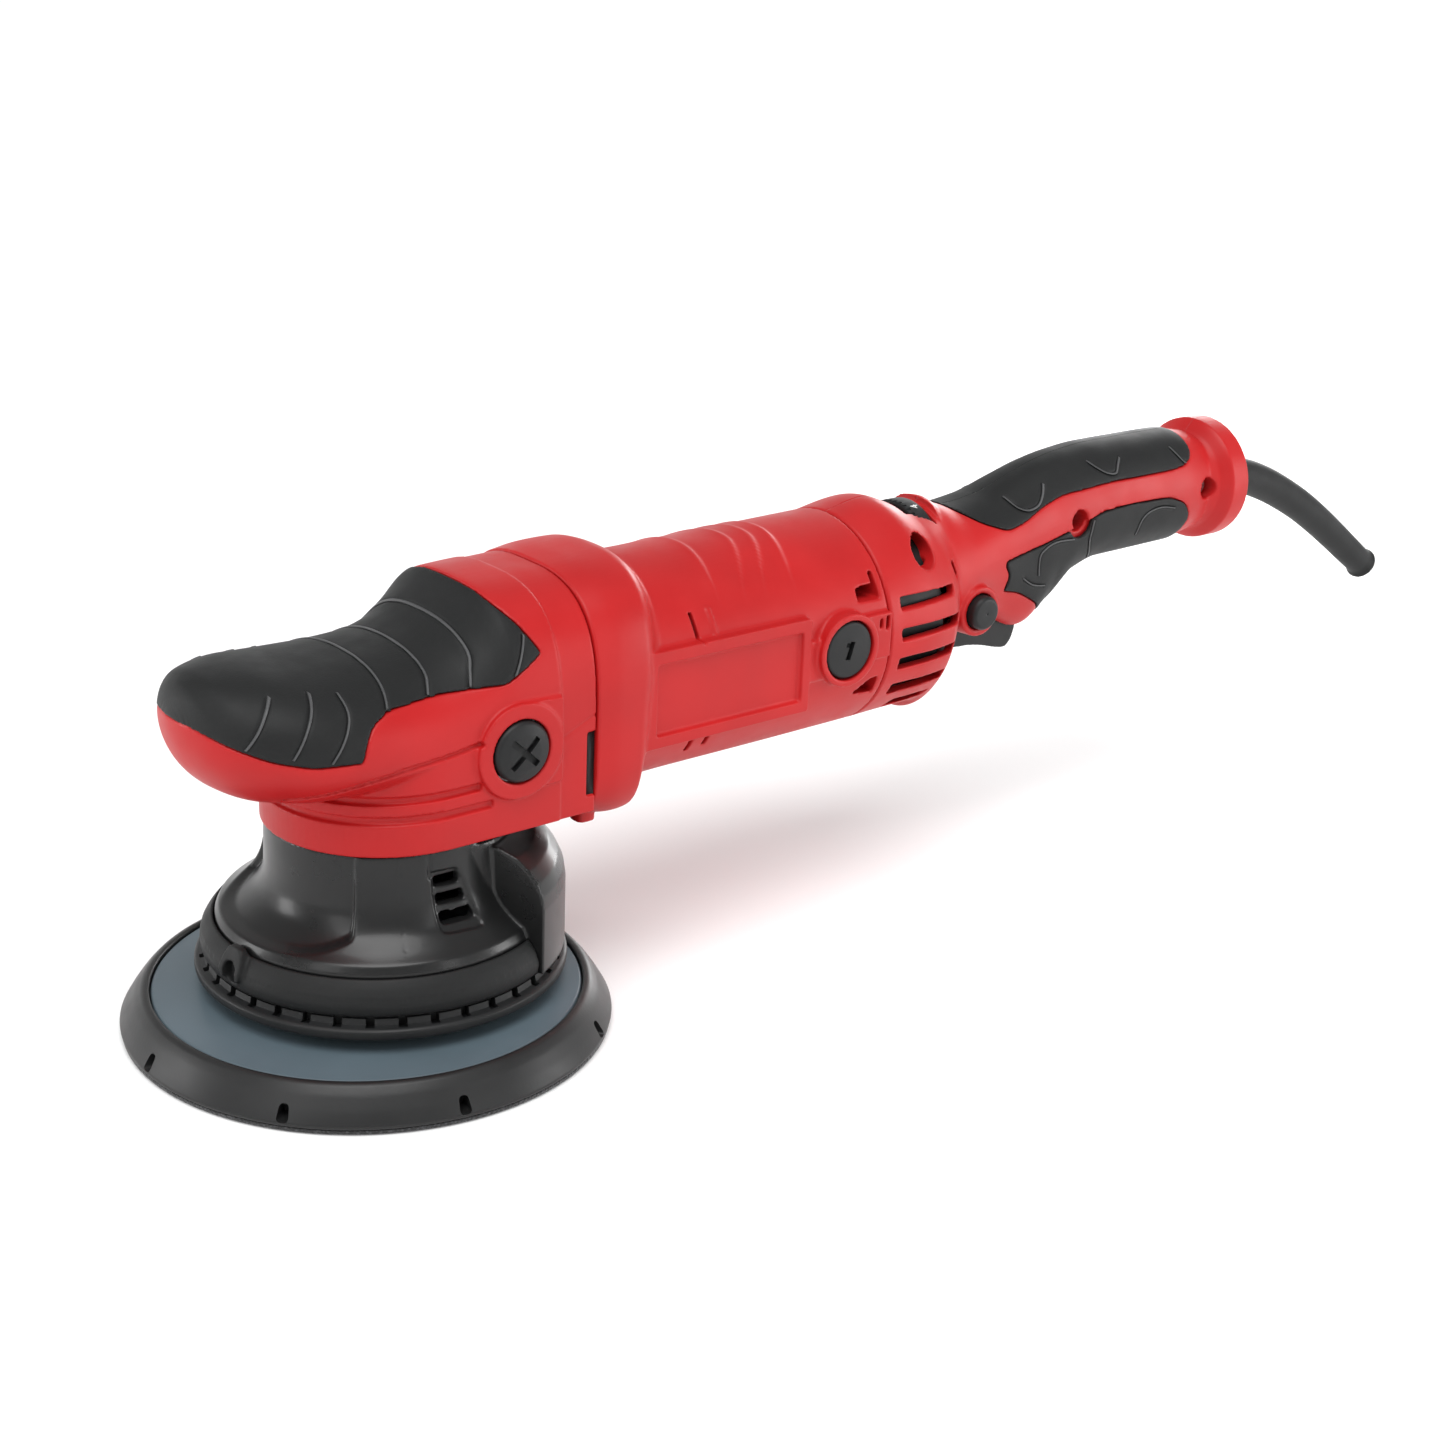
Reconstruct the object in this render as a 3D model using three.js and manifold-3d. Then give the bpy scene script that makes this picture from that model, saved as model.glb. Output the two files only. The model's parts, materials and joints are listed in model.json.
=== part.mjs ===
// A corded, long-necked dual action car polisher, built as an assembly of separate sub-parts.
// Millimetres, +Z up. The origin is where the drive spindle's axis meets the face of the pad plate.
// +X runs along the tool to its tail, and -Y is the operator's left, where the lock button is.
import * as THREE from "three";
import { mergeVertices } from "three/addons/utils/BufferGeometryUtils.js";
import Module from "manifold-3d";

const wasm = await Module();
wasm.setup();

// ---------------------------------------------------------------- driving dimensions
const GAP = 0.3; // clearance between neighbours that touch on the real tool
const WALL = 2.6; // plastic wall
const SIDES = 16; // facets round a body section

const PLATE_RADIUS = 75.3; // a 150 mm plate
const DISC_RADIUS = 65.7;
const RIM_TOP_RADIUS = 68.6;
const PLATE_TOP = 12.7;
const THROW = 15; // orbit diameter
const REST_TURN = (204 * Math.PI) / 180; // where the eccentric points at rest
const PAD_X = (THROW / 2) * Math.cos(REST_TURN);
const PAD_Y = (THROW / 2) * Math.sin(REST_TURN);

const SKIRT_RADIUS = 57.2;
const SKIRT_BOTTOM = 16.5;
const SKIRT_TOP = 22.6;
const BELL_BOTTOM = 22.9;
const BELL_TOP = 65;
const BELL_FOOT_RADIUS = 50.6;
const GUARD_RADIUS = 56.4; // the shroud's tall rear guard
const GUARD_HALF_ANGLE = (63 * Math.PI) / 180;

const HEAD_HALF = 37.6; // half width of the gear head
const HEAD_BOTTOM = 65.3;
const HEAD_REAR = 53.3; // parting line between head cover and motor housing
const COLLAR_REAR = 71;
const BLOCK_X = 1.5; // centre of the base block's half-round front
const PLUG_X = 25;
const PLUG_Z = 91.5;
const PLUG_RADIUS = 9.8;

const MOTOR_AXIS = 96.6;
const BARREL_RADIUS = 36.6;
const BARREL_REAR = 174;
const BRUSH_X = 154;
const BRUSH_Z = 97.4;
const BRUSH_CAP_RADIUS = 9.9;
const PANEL_FACE = 37; // half distance between the two flat badge panels

const RING_TEETH = 24;
const PINION_TEETH = 8;
const RING_PITCH_RADIUS = 27;
const PINION_PITCH_RADIUS = (RING_PITCH_RADIUS * PINION_TEETH) / RING_TEETH;
const FACE_WIDTH = 7.5;

const HANDLE_AXIS = 119.4;
const TAIL_RADIUS = 23.2;
const FLANGE_FRONT = 360.4;
const TAIL_END = 370;
const TRIGGER_HALF = 7.6;
const LOCK_X = 227;
const LOCK_Z = 95.5;
const LOCK_RADIUS = 6.2;
const DIAL_X = 209.5;
const DIAL_RADIUS = 18;
const DIAL_Z = 114.4;

// ---------------------------------------------------------------- looks
function look(color, roughness, metalness = 0) {
  return { color, roughness, metalness };
}
const RED = look(0xc9201f, 0.45);
const RUBBER = look(0x2b2c2d, 0.75);
const BLACK = look(0x1b1c1d, 0.4);
const GLOSS_BLACK = look(0x111213, 0.15);
const PLATE_BLUE = look(0x5c6f7a, 0.5);
const STEEL = look(0x9a9da0, 0.3, 1);
const DARK_STEEL = look(0x5a5c5f, 0.45, 1);
const ALUMINIUM = look(0xb8babd, 0.4, 1);
const COPPER = look(0xb06a35, 0.35, 1);
const CARBON = look(0x2a2a2c, 0.8);
const BRASS = look(0xb5892e, 0.4, 1);
const CIRCUIT_GREEN = look(0x1d5a35, 0.5);

// ---------------------------------------------------------------- solids and booleans
const tool = new THREE.Group();

function solid(geometry) {
  const flat = geometry.index ? geometry.toNonIndexed() : geometry;
  const bare = new THREE.BufferGeometry();
  bare.setAttribute("position", flat.getAttribute("position"));
  const merged = mergeVertices(bare, 1e-3);
  return new wasm.Manifold(
    new wasm.Mesh({
      numProp: 3,
      vertProperties: merged.attributes.position.array,
      triVerts: new Uint32Array(merged.index.array),
    }),
  );
}

function union(...parts) {
  return parts.reduce((sum, part) => sum.add(part));
}

function cut(body, ...tools) {
  return tools.reduce((left, part) => left.subtract(part), body);
}

function add(name, finish, body) {
  const mesh = body.getMesh();
  const geometry = new THREE.BufferGeometry();
  geometry.setAttribute(
    "position",
    new THREE.BufferAttribute(new Float32Array(mesh.vertProperties), 3),
  );
  geometry.setIndex(new THREE.BufferAttribute(new Uint32Array(mesh.triVerts), 1));
  geometry.computeVertexNormals();
  const part = new THREE.Mesh(geometry, new THREE.MeshStandardMaterial(finish));
  part.name = name;
  tool.add(part);
}

function box([x0, y0, z0], [x1, y1, z1]) {
  const shape = new THREE.BoxGeometry(x1 - x0, y1 - y0, z1 - z0);
  shape.translate((x0 + x1) / 2, (y0 + y1) / 2, (z0 + z1) / 2);
  return solid(shape);
}

// A geometry whose axis is +Y turned so that its axis lies along X, Y or Z.
function along(axis, geometry) {
  if (axis === "x") geometry.rotateZ(-Math.PI / 2);
  if (axis === "z") geometry.rotateX(Math.PI / 2);
  return geometry;
}

// A solid of revolution: the profile is a list of [radius, distance along the axis].
function turned(axis, profile, [x, y, z] = [0, 0, 0], segments = 16) {
  const points = profile.map(([r, t]) => new THREE.Vector2(r, t));
  if (profile[0][0] > 0) points.push(points[0].clone());
  const body = solid(along(axis, new THREE.LatheGeometry(points, segments)).translate(x, y, z));
  if (body.volume() > 0) return body;
  return turned(axis, [...profile].reverse(), [x, y, z], segments);
}

function rod(axis, radius, from, to, at, segments = 16) {
  const profile = [
    [0, from],
    [radius, from],
    [radius, to],
    [0, to],
  ];
  return turned(axis, profile, at, segments);
}

function ring(axis, inner, outer, from, to, at, segments = 16) {
  const profile = [
    [inner, from],
    [outer, from],
    [outer, to],
    [inner, to],
  ];
  return turned(axis, profile, at, segments);
}

// A flat outline of [x, z] points pushed along Y from one side to the other.
function sidePrism(outline, from, to) {
  const shape = new THREE.Shape(outline.map(([x, z]) => new THREE.Vector2(x, z)));
  const geometry = new THREE.ExtrudeGeometry(shape, { depth: to - from, bevelEnabled: false });
  geometry.rotateX(Math.PI / 2);
  geometry.translate(0, to, 0);
  return solid(geometry);
}

// A flat outline of [x, y] points pushed along Z.
function planPrism(outline, from, to) {
  const shape = new THREE.Shape(outline.map(([x, y]) => new THREE.Vector2(x, y)));
  const geometry = new THREE.ExtrudeGeometry(shape, { depth: to - from, bevelEnabled: false });
  geometry.translate(0, 0, from);
  return solid(geometry);
}

// A closed skin over a row of rings, each a list of the same number of points.
function loft(rings) {
  const count = rings[0].length;
  const points = rings.flat();
  const faces = [];
  rings.slice(1).forEach((_, i) => {
    for (let j = 0; j < count; j++) {
      const next = (j + 1) % count;
      const [a, b] = [i * count + j, i * count + next];
      faces.push(a, b, a + count, b, b + count, a + count);
    }
  });
  [rings[0], rings.at(-1)].forEach((end, k) => {
    const base = k * (rings.length - 1) * count;
    const centre = points.length;
    const middle = new THREE.Vector3();
    end.forEach((p) => middle.addScaledVector(p, 1 / count));
    points.push(middle);
    for (let j = 0; j < count; j++) {
      const [a, b] = [base + j, base + ((j + 1) % count)];
      if (k === 0) faces.push(centre, b, a);
      else faces.push(centre, a, b);
    }
  });
  const geometry = new THREE.BufferGeometry();
  geometry.setFromPoints(points);
  geometry.setIndex(faces);
  const body = solid(geometry);
  if (body.volume() > 0) return body;
  return loft([...rings].reverse());
}

// ---------------------------------------------------------------- body sections
// A station is one cross-section of a body that runs along X. half is its half width, top and
// bottom its heights, middle the height where it is widest, and power how square it is. lean
// slopes the part above the middle towards the tail.
function sectionRing(station, grow) {
  const { x, half, top, bottom, middle, power, lowPower = power, lean = 0 } = station;
  const points = [];
  for (let i = 0; i < SIDES; i++) {
    const turn = (2 * Math.PI * (i + 0.5)) / SIDES;
    const [c, s] = [Math.cos(turn), Math.sin(turn)];
    const n = s > 0 ? power : lowPower;
    const height = s > 0 ? top + grow - middle : middle - bottom + grow;
    const y = (half + grow) * Math.sign(c) * Math.abs(c) ** (2 / n);
    const z = middle + height * Math.sign(s) * Math.abs(s) ** (2 / n);
    points.push(new THREE.Vector3(x + lean * Math.max(0, z - middle), y, z));
  }
  return points;
}

// The whole body, grown or shrunk by an even skin, and its two ends moved along X.
function bodyOf(stations, grow = 0, { front = 0, rear = 0 } = {}) {
  const rings = stations.map((station, i) => {
    let x = station.x;
    if (i === 0) x += front;
    if (i === stations.length - 1) x += rear;
    return sectionRing({ ...station, x }, grow);
  });
  return loft(rings);
}

const HEAD_STATIONS = [
  { x: -66.4, half: 9.6, top: 115.2, bottom: 99, middle: 106.4, power: 2 },
  { x: -63.8, half: 16.6, top: 118.6, bottom: 92.8, middle: 105, power: 2 },
  { x: -58.5, half: 24, top: 120.6, bottom: 87.2, middle: 103.6, power: 2.1 },
  { x: -48, half: 31.4, top: 121, bottom: 82.2, middle: 101.4, power: 2.2 },
  { x: -34, half: 36.2, top: 119.4, bottom: 80.4, middle: 99.2, power: 2.3 },
  { x: -16, half: HEAD_HALF, top: 119.4, bottom: 80.6, middle: 97, power: 2.3 },
  { x: 0, half: HEAD_HALF, top: 120, bottom: 80.6, middle: 95, power: 2.3 },
  { x: 10, half: HEAD_HALF, top: 122.6, bottom: 80.6, middle: 95, power: 2.35 },
  { x: 18, half: HEAD_HALF, top: 129.4, bottom: 80.6, middle: 95, power: 2.5 },
  { x: 26, half: HEAD_HALF, top: 135.8, bottom: 80.6, middle: 95, power: 2.9 },
  { x: HEAD_REAR, half: HEAD_HALF, top: 136.4, bottom: 80.6, middle: 95, power: 2.9 },
];

const HOUSING_STATIONS = [
  { x: HEAD_REAR + GAP, half: 37.6, top: 136.4, bottom: 60, middle: 95, power: 2.9, lowPower: 5 },
  { x: 62, half: 39, top: 137.4, bottom: 58.2, middle: 95, power: 2.9, lowPower: 5 },
  { x: COLLAR_REAR, half: 38.6, top: 137.6, bottom: 57.6, middle: 95, power: 2.7, lowPower: 4, lean: 0.14 },
  { x: 76, half: 36.8, top: 132.4, bottom: 59, middle: MOTOR_AXIS, power: 2, lean: 0.24 },
  { x: 130, half: BARREL_RADIUS, top: 133, bottom: 59.8, middle: MOTOR_AXIS, power: 2 },
  { x: BARREL_REAR, half: 36.6, top: 133.6, bottom: 60.4, middle: MOTOR_AXIS, power: 2 },
];

const HANDLE_STATIONS = [
  { x: BARREL_REAR + GAP, half: 36.6, top: 133.6, bottom: 60.4, middle: MOTOR_AXIS, power: 2 },
  { x: 191, half: 36.4, top: 136.2, bottom: 60.8, middle: MOTOR_AXIS, power: 2 },
  { x: 206, half: 34.2, top: 131.6, bottom: 60.4, middle: 97, power: 2 },
  { x: 211.5, half: 30.4, top: 131.2, bottom: 56.4, middle: 98, power: 2, lowPower: 1.8 },
  { x: 214, half: 27.8, top: 131, bottom: 61, middle: 99, power: 2, lowPower: 1.8 },
  { x: 216, half: 25.6, top: 130.8, bottom: 68, middle: 101, power: 2, lowPower: 1.8 },
  { x: 218, half: 24.8, top: 130.4, bottom: 76.4, middle: 102.6, power: 2 },
  { x: 221.4, half: 24.2, top: 130, bottom: 80.4, middle: 104, power: 2 },
  { x: 230, half: 22.4, top: 127.8, bottom: 84.4, middle: 107, power: 2.1 },
  { x: 244, half: 20, top: 129.2, bottom: 84.6, middle: 110, power: 2.2, lowPower: 2.6 },
  { x: 262, half: 18.8, top: 134.4, bottom: 78.6, middle: 113, power: 2.2, lowPower: 3 },
  { x: 274, half: 18.7, top: 137.8, bottom: 83.6, middle: 114, power: 2.2 },
  { x: 286, half: 18.6, top: 139.8, bottom: 94.4, middle: 116, power: 2.2 },
  { x: 302, half: 18.6, top: 141, bottom: 98.4, middle: 118, power: 2.2 },
  { x: 340, half: 18.7, top: 140.9, bottom: 98.4, middle: HANDLE_AXIS, power: 2.1 },
  { x: 355, half: 17.5, top: 138.6, bottom: 100.2, middle: HANDLE_AXIS, power: 2 },
];

// ---------------------------------------------------------------- the orbiting pad
function padParts() {
  const at = [PAD_X, PAD_Y, 0];
  const fine = 36;
  add("hook_face", CARBON, rod("z", 74.8, 0, 1.2, at, fine));

  const foam = [
    [0, 1.5],
    [PLATE_RADIUS, 1.5],
    [PLATE_RADIUS, 2.6],
    [RIM_TOP_RADIUS, 12.3],
    [RIM_TOP_RADIUS - 0.6, PLATE_TOP],
    [DISC_RADIUS + GAP, PLATE_TOP],
    [DISC_RADIUS + GAP, 9.3],
    [0, 9.3],
  ];
  add("pad_rim", RUBBER, turned("z", foam, at, fine));

  const disc = union(
    rod("z", DISC_RADIUS, 9.6, 12, at, fine),
    rod("z", 20, 9.6, PLATE_TOP - GAP, at),
  );
  add("backing_plate", PLATE_BLUE, disc);

  const stud = [
    [0, PLATE_TOP],
    [12, PLATE_TOP],
    [12, 15],
    [4, 15],
    [4, 27],
    [0, 27],
  ];
  add("plate_stud", STEEL, turned("z", stud, at));

  const spindle = [
    [0, 46],
    [5.9, 46],
    [5.9, 25],
    [11, 24.4],
    [11, 15.6],
    [4.3, 15.6],
    [4.3, 29],
    [0, 29],
  ];
  add("pad_spindle", STEEL, turned("z", spindle, at));
}

// ---------------------------------------------------------------- bevel gears
// One gear of the pair, as if its axis were +Z and its cone's point were at the origin above it.
function bevelGear(teeth, pitchRadius, mateRadius, toothTurn, backFrom, hubRadius) {
  const cone = Math.atan2(pitchRadius, mateRadius);
  const reach = Math.hypot(pitchRadius, mateRadius);
  const pitch = (2 * pitchRadius) / teeth;
  const ringOf = (distance, height) => {
    const size = (pitch * distance) / reach;
    const corner = (lift, side) => {
      const radius = distance * Math.sin(cone) + lift * Math.cos(cone);
      const level = height ?? -distance * Math.cos(cone) + lift * Math.sin(cone);
      return new THREE.Vector3(radius, side, level);
    };
    const low = -1.2 * size;
    const high = height === undefined ? 0.75 * size : low;
    const tooth = [
      corner(low, -1.0 * size),
      corner(high, -0.28 * size),
      corner(high, 0.28 * size),
      corner(low, 1.0 * size),
    ];
    return Array.from({ length: teeth }, (_, i) => {
      const turn = toothTurn + (2 * Math.PI * i) / teeth;
      return tooth.map((point) => point.clone().applyAxisAngle(UP, turn));
    }).flat();
  };
  const inner = reach - FACE_WIDTH;
  const front = -inner * Math.cos(cone) - pitch * 1.4 * Math.sin(cone);
  const rings = [ringOf(inner - 1, front), ringOf(inner), ringOf(reach), ringOf(reach - 0.5, backFrom)];
  return union(loft(rings), rod("z", hubRadius, backFrom - 4, backFrom + 0.5, [0, 0, 0]));
}
const UP = new THREE.Vector3(0, 0, 1);

function moved(body, matrix) {
  return body.transform(matrix.elements);
}

// ---------------------------------------------------------------- the drive spindle
function spindleParts() {
  const at = [PAD_X, PAD_Y, 0];
  add("pad_bearing_lower", STEEL, ring("z", 6.1, 16, 25.8, 35.6, at));
  add("pad_bearing_upper", STEEL, ring("z", 6.1, 16, 35.9, 45.7, at));

  const carrier = cut(
    union(rod("z", 20, 25.6, 51, at, 24), rod("z", 12.5, 50, 58, [0, 0, 0])),
    rod("z", 16.4, 25, 46, at, 24),
    rod("z", 9, 45, 48.6, at),
    rod("z", 7.3, 52, 59, [0, 0, 0]),
  );
  add("eccentric_carrier", DARK_STEEL, carrier);

  const weight = cut(
    rod("z", 39, 26, 39, [0, 0, 0], 28),
    rod("z", 20.5, 25, 40, at, 24),
    turnedBlock(REST_TURN),
  );
  add("counterweight", DARK_STEEL, weight);

  const shaft = [
    [0, 52.3],
    [7, 52.3],
    [7, 66],
    [7.4, 66],
    [7.4, 81],
    [5.9, 81],
    [5.9, 110.5],
    [0, 110.5],
  ];
  add("drive_spindle", STEEL, turned("z", shaft, [0, 0, 0]));

  const lift = new THREE.Matrix4().makeTranslation(0, 0, MOTOR_AXIS);
  const halfTooth = Math.PI / RING_TEETH;
  const gear = bevelGear(RING_TEETH, RING_PITCH_RADIUS, PINION_PITCH_RADIUS, halfTooth, -14.2, 15);
  const bored = cut(
    moved(gear, lift),
    rod("z", 6.2, 70, 100, [0, 0, 0]),
    rod("z", 7.7, 70, 81.3, [0, 0, 0]),
  );
  add("bevel_gear", DARK_STEEL, bored);
}

// A big block on the pad's side of the spindle, which leaves the counterweight a half disc.
function turnedBlock(turn) {
  const shape = new THREE.BoxGeometry(100, 120, 40);
  shape.translate(50 - 4, 0, 32);
  shape.rotateZ(turn);
  return solid(shape);
}

// ---------------------------------------------------------------- the armature
function armatureParts() {
  const at = [0, 0, MOTOR_AXIS];
  const toTail = new THREE.Matrix4()
    .makeTranslation(0, 0, MOTOR_AXIS)
    .multiply(new THREE.Matrix4().makeRotationY(-Math.PI / 2));
  const pinion = bevelGear(PINION_TEETH, PINION_PITCH_RADIUS, RING_PITCH_RADIUS, Math.PI, -28.6, 8);
  const boredPinion = cut(moved(pinion, toTail), rod("x", 3.8, 10, 40, at));
  add("bevel_pinion", DARK_STEEL, boredPinion);

  const shaft = [
    [0, 20.5],
    [3.5, 20.5],
    [3.5, 33],
    [5.9, 33],
    [5.9, 62],
    [7, 62],
    [7, 161],
    [3.9, 161],
    [3.9, 172.5],
    [0, 172.5],
  ];
  add("motor_shaft", STEEL, turned("x", shaft, at));

  const blades = [ring("x", 7.3, 30, 72.4, 74, at, 24), ring("x", 7.3, 11, 62.5, 74, at)];
  const bladeCount = 9;
  for (let i = 0; i < bladeCount; i++) {
    const blade = new THREE.BoxGeometry(10.5, 19.4, 1.3);
    blade.translate(67.8, 20, 0);
    blade.rotateX((2 * Math.PI * i) / bladeCount);
    blades.push(solid(blade.translate(...at)));
  }
  add("cooling_fan", BLACK, union(...blades));

  const slotCount = 10;
  const slots = [];
  for (let i = 0; i < slotCount; i++) {
    const slot = new THREE.BoxGeometry(60, 8, 2);
    slot.translate(112, 17.5, 0);
    slot.rotateX((2 * Math.PI * (i + 0.5)) / slotCount);
    slots.push(solid(slot.translate(...at)));
  }
  const core = cut(ring("x", 7.3, 19.4, 88.4, 136, at, 20), ...slots);
  add("armature_core", DARK_STEEL, core);

  const coilEnd = (from, to, grow) => [
    [7.3, from],
    [13 + grow, from],
    [17, from + 2.5],
    [17, to - 2.5],
    [13 - grow, to],
    [7.3, to],
  ];
  add("winding_front", COPPER, turned("x", coilEnd(78.5, 88.1, 2), at));
  add("winding_rear", COPPER, turned("x", coilEnd(136.3, 145, -2), at));
  add("commutator", COPPER, ring("x", 7.3, 12, 146, 160.5, at));
}

// ---------------------------------------------------------------- the gear head
function bearings() {
  add("spindle_bearing_lower", STEEL, ring("z", 7.6, 17.5, 67.4, 77.6, [0, 0, 0]));
  add("spindle_bearing_upper", STEEL, ring("z", 6.1, 10.5, 102, 110, [0, 0, 0]));
  add("motor_bearing_front", STEEL, ring("x", 6.1, 16, 40.5, 50.5, [0, 0, MOTOR_AXIS]));
  add("motor_bearing_rear", STEEL, ring("x", 4.1, 11, 166, 172.4, [0, 0, MOTOR_AXIS]));
}

function gearCaseOutside(grow) {
  const shell = [
    [0, 66.4 - grow],
    [33 + grow, 66.4 - grow],
    [33 + grow, 103],
    [27 + grow, 110 + grow],
    [17, 113.5 + grow],
    [0, 113.5 + grow],
  ];
  const snout = cut(
    rod("x", 33 + grow, 22, 52.9 + grow, [0, 0, MOTOR_AXIS], 24),
    box([0, -40, 50], [60, 40, 66.4 - grow]),
  );
  const bosses = rod("y", 10 + grow, -34.6, 34.6, [PLUG_X, 0, PLUG_Z], 12);
  return union(turned("z", shell, [0, 0, 0], 24), snout, bosses);
}

function gearCase() {
  const axis = [0, 0, MOTOR_AXIS];
  const cavity = [
    [0, 78],
    [28.9, 78],
    [28.9, 98],
    [22, 101.7],
    [0, 101.7],
  ];
  const body = cut(
    gearCaseOutside(0),
    turned("z", cavity, [0, 0, 0], 24),
    rod("z", 17.8, 66, 79, [0, 0, 0]),
    rod("z", 10.8, 101, 110.3, [0, 0, 0]),
    rod("z", 6.4, 101, 111.5, [0, 0, 0]),
    rod("x", 11.5, 10, 54, axis),
    rod("x", 16.3, 40.2, 54, axis),
    rod("y", 7.2, -36, -24.6, [PLUG_X, 0, PLUG_Z], 12),
    rod("y", 7.2, 24.6, 36, [PLUG_X, 0, PLUG_Z], 12),
  );
  add("gear_case", ALUMINIUM, body);

  const insert = (side) => {
    const [from, to] = side < 0 ? [-34.4, -25] : [25, 34.4];
    return ring("y", 4.2, 6.9, from, to, [PLUG_X, 0, PLUG_Z], 12);
  };
  add("handle_insert_left", STEEL, insert(-1));
  add("handle_insert_right", STEEL, insert(1));

  const plate = cut(
    rod("x", 33.5, 54.2, 58, axis, 24),
    rod("x", 9, 54, 59, axis),
  );
  add("bearing_plate", ALUMINIUM, plate);
}

// The base block under the head: straight sides with a half-round front, in plan.
function blockOutline(grow) {
  const radius = HEAD_HALF + grow;
  const steps = 12;
  const outline = [[HEAD_REAR, -radius]];
  outline.push([HEAD_REAR, radius]);
  for (let i = 0; i <= steps; i++) {
    const turn = Math.PI / 2 + (Math.PI * i) / steps;
    outline.push([BLOCK_X + radius * Math.cos(turn), radius * Math.sin(turn)]);
  }
  return outline;
}

// The side outline of the rubber saddle that covers the nose.
const SADDLE_OUTLINE = [
  [-80, 111],
  [-66, 107.5],
  [-57, 103],
  [-47, 100],
  [-36, 98.6],
  [-27, 98.6],
  [-25, 104],
  [-20, 109],
  [-10, 111.2],
  [22, 112],
  [34.5, 119],
  [30, 127],
  [24.5, 133],
  [23, 150],
  [-80, 150],
];

function headCover() {
  const upper = bodyOf(HEAD_STATIONS);
  const block = planPrism(blockOutline(0), HEAD_BOTTOM, 92);
  const bosses = rod("y", 15, -38.4, 38.4, [PLUG_X, 0, PLUG_Z], 24);
  const flag = box([PLUG_X, -38.4, PLUG_Z - 12], [40, 38.4, PLUG_Z + 14]);
  const outside = union(upper, block, bosses, flag);

  const inside = union(
    bodyOf(HEAD_STATIONS.slice(3), -WALL - 1.9, { front: 4, rear: 5 }),
    planPrism(blockOutline(-WALL), HEAD_BOTTOM - 1, 88),
    box([HEAD_REAR - 6, -35, HEAD_BOTTOM - 1], [HEAD_REAR + 1, 35, 88]),
    gearCaseOutside(GAP),
    rod("x", 33.3, 40, 60, [0, 0, MOTOR_AXIS], 24),
  );
  const saddleBed = cut(
    sidePrism(SADDLE_OUTLINE, -60, 60),
    bodyOf(HEAD_STATIONS, -1.8),
  );
  const plugHoles = rod("y", PLUG_RADIUS + GAP, -50, 50, [PLUG_X, 0, PLUG_Z], 20);
  const body = cut(outside, inside, saddleBed, plugHoles);
  add("head_cover", RED, body);

  const saddle = cut(
    bodyOf(HEAD_STATIONS).intersect(sidePrism(insetOutline(SADDLE_OUTLINE, 0.4), -60, 60)),
    bodyOf(HEAD_STATIONS, -1.5),
  );
  add("nose_grip", RUBBER, saddle);
}

function headPlugs() {
  const dome = (side) => {
    const profile = [
      [0, 35],
      [PLUG_RADIUS, 35],
      [PLUG_RADIUS, 38.6],
      [PLUG_RADIUS - 2.5, 39.9],
      [0, 40.4],
    ].map(([r, t]) => [r, t * side]);
    const plug = turned("y", profile, [PLUG_X, 0, PLUG_Z], 20);
    const bars = [1, -1].map((tilt) => {
      const bar = new THREE.BoxGeometry(14, 2, 1.5);
      bar.rotateY((tilt * Math.PI) / 4);
      return solid(bar.translate(PLUG_X, side * 40, PLUG_Z));
    });
    return cut(plug, ...bars);
  };
  add("head_plug_left", BLACK, dome(-1));
  add("head_plug_right", BLACK, dome(1));
}

// ---------------------------------------------------------------- the shroud
const SHROUD_FACETS = 28;
const FOOT_INSIDE = BELL_FOOT_RADIUS - WALL;
const BELL_INSIDE = [
  [32.2, 62.8],
  [33.4, 52],
  [35.6, 44],
  [FOOT_INSIDE - 2, 35.6],
];

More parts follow.
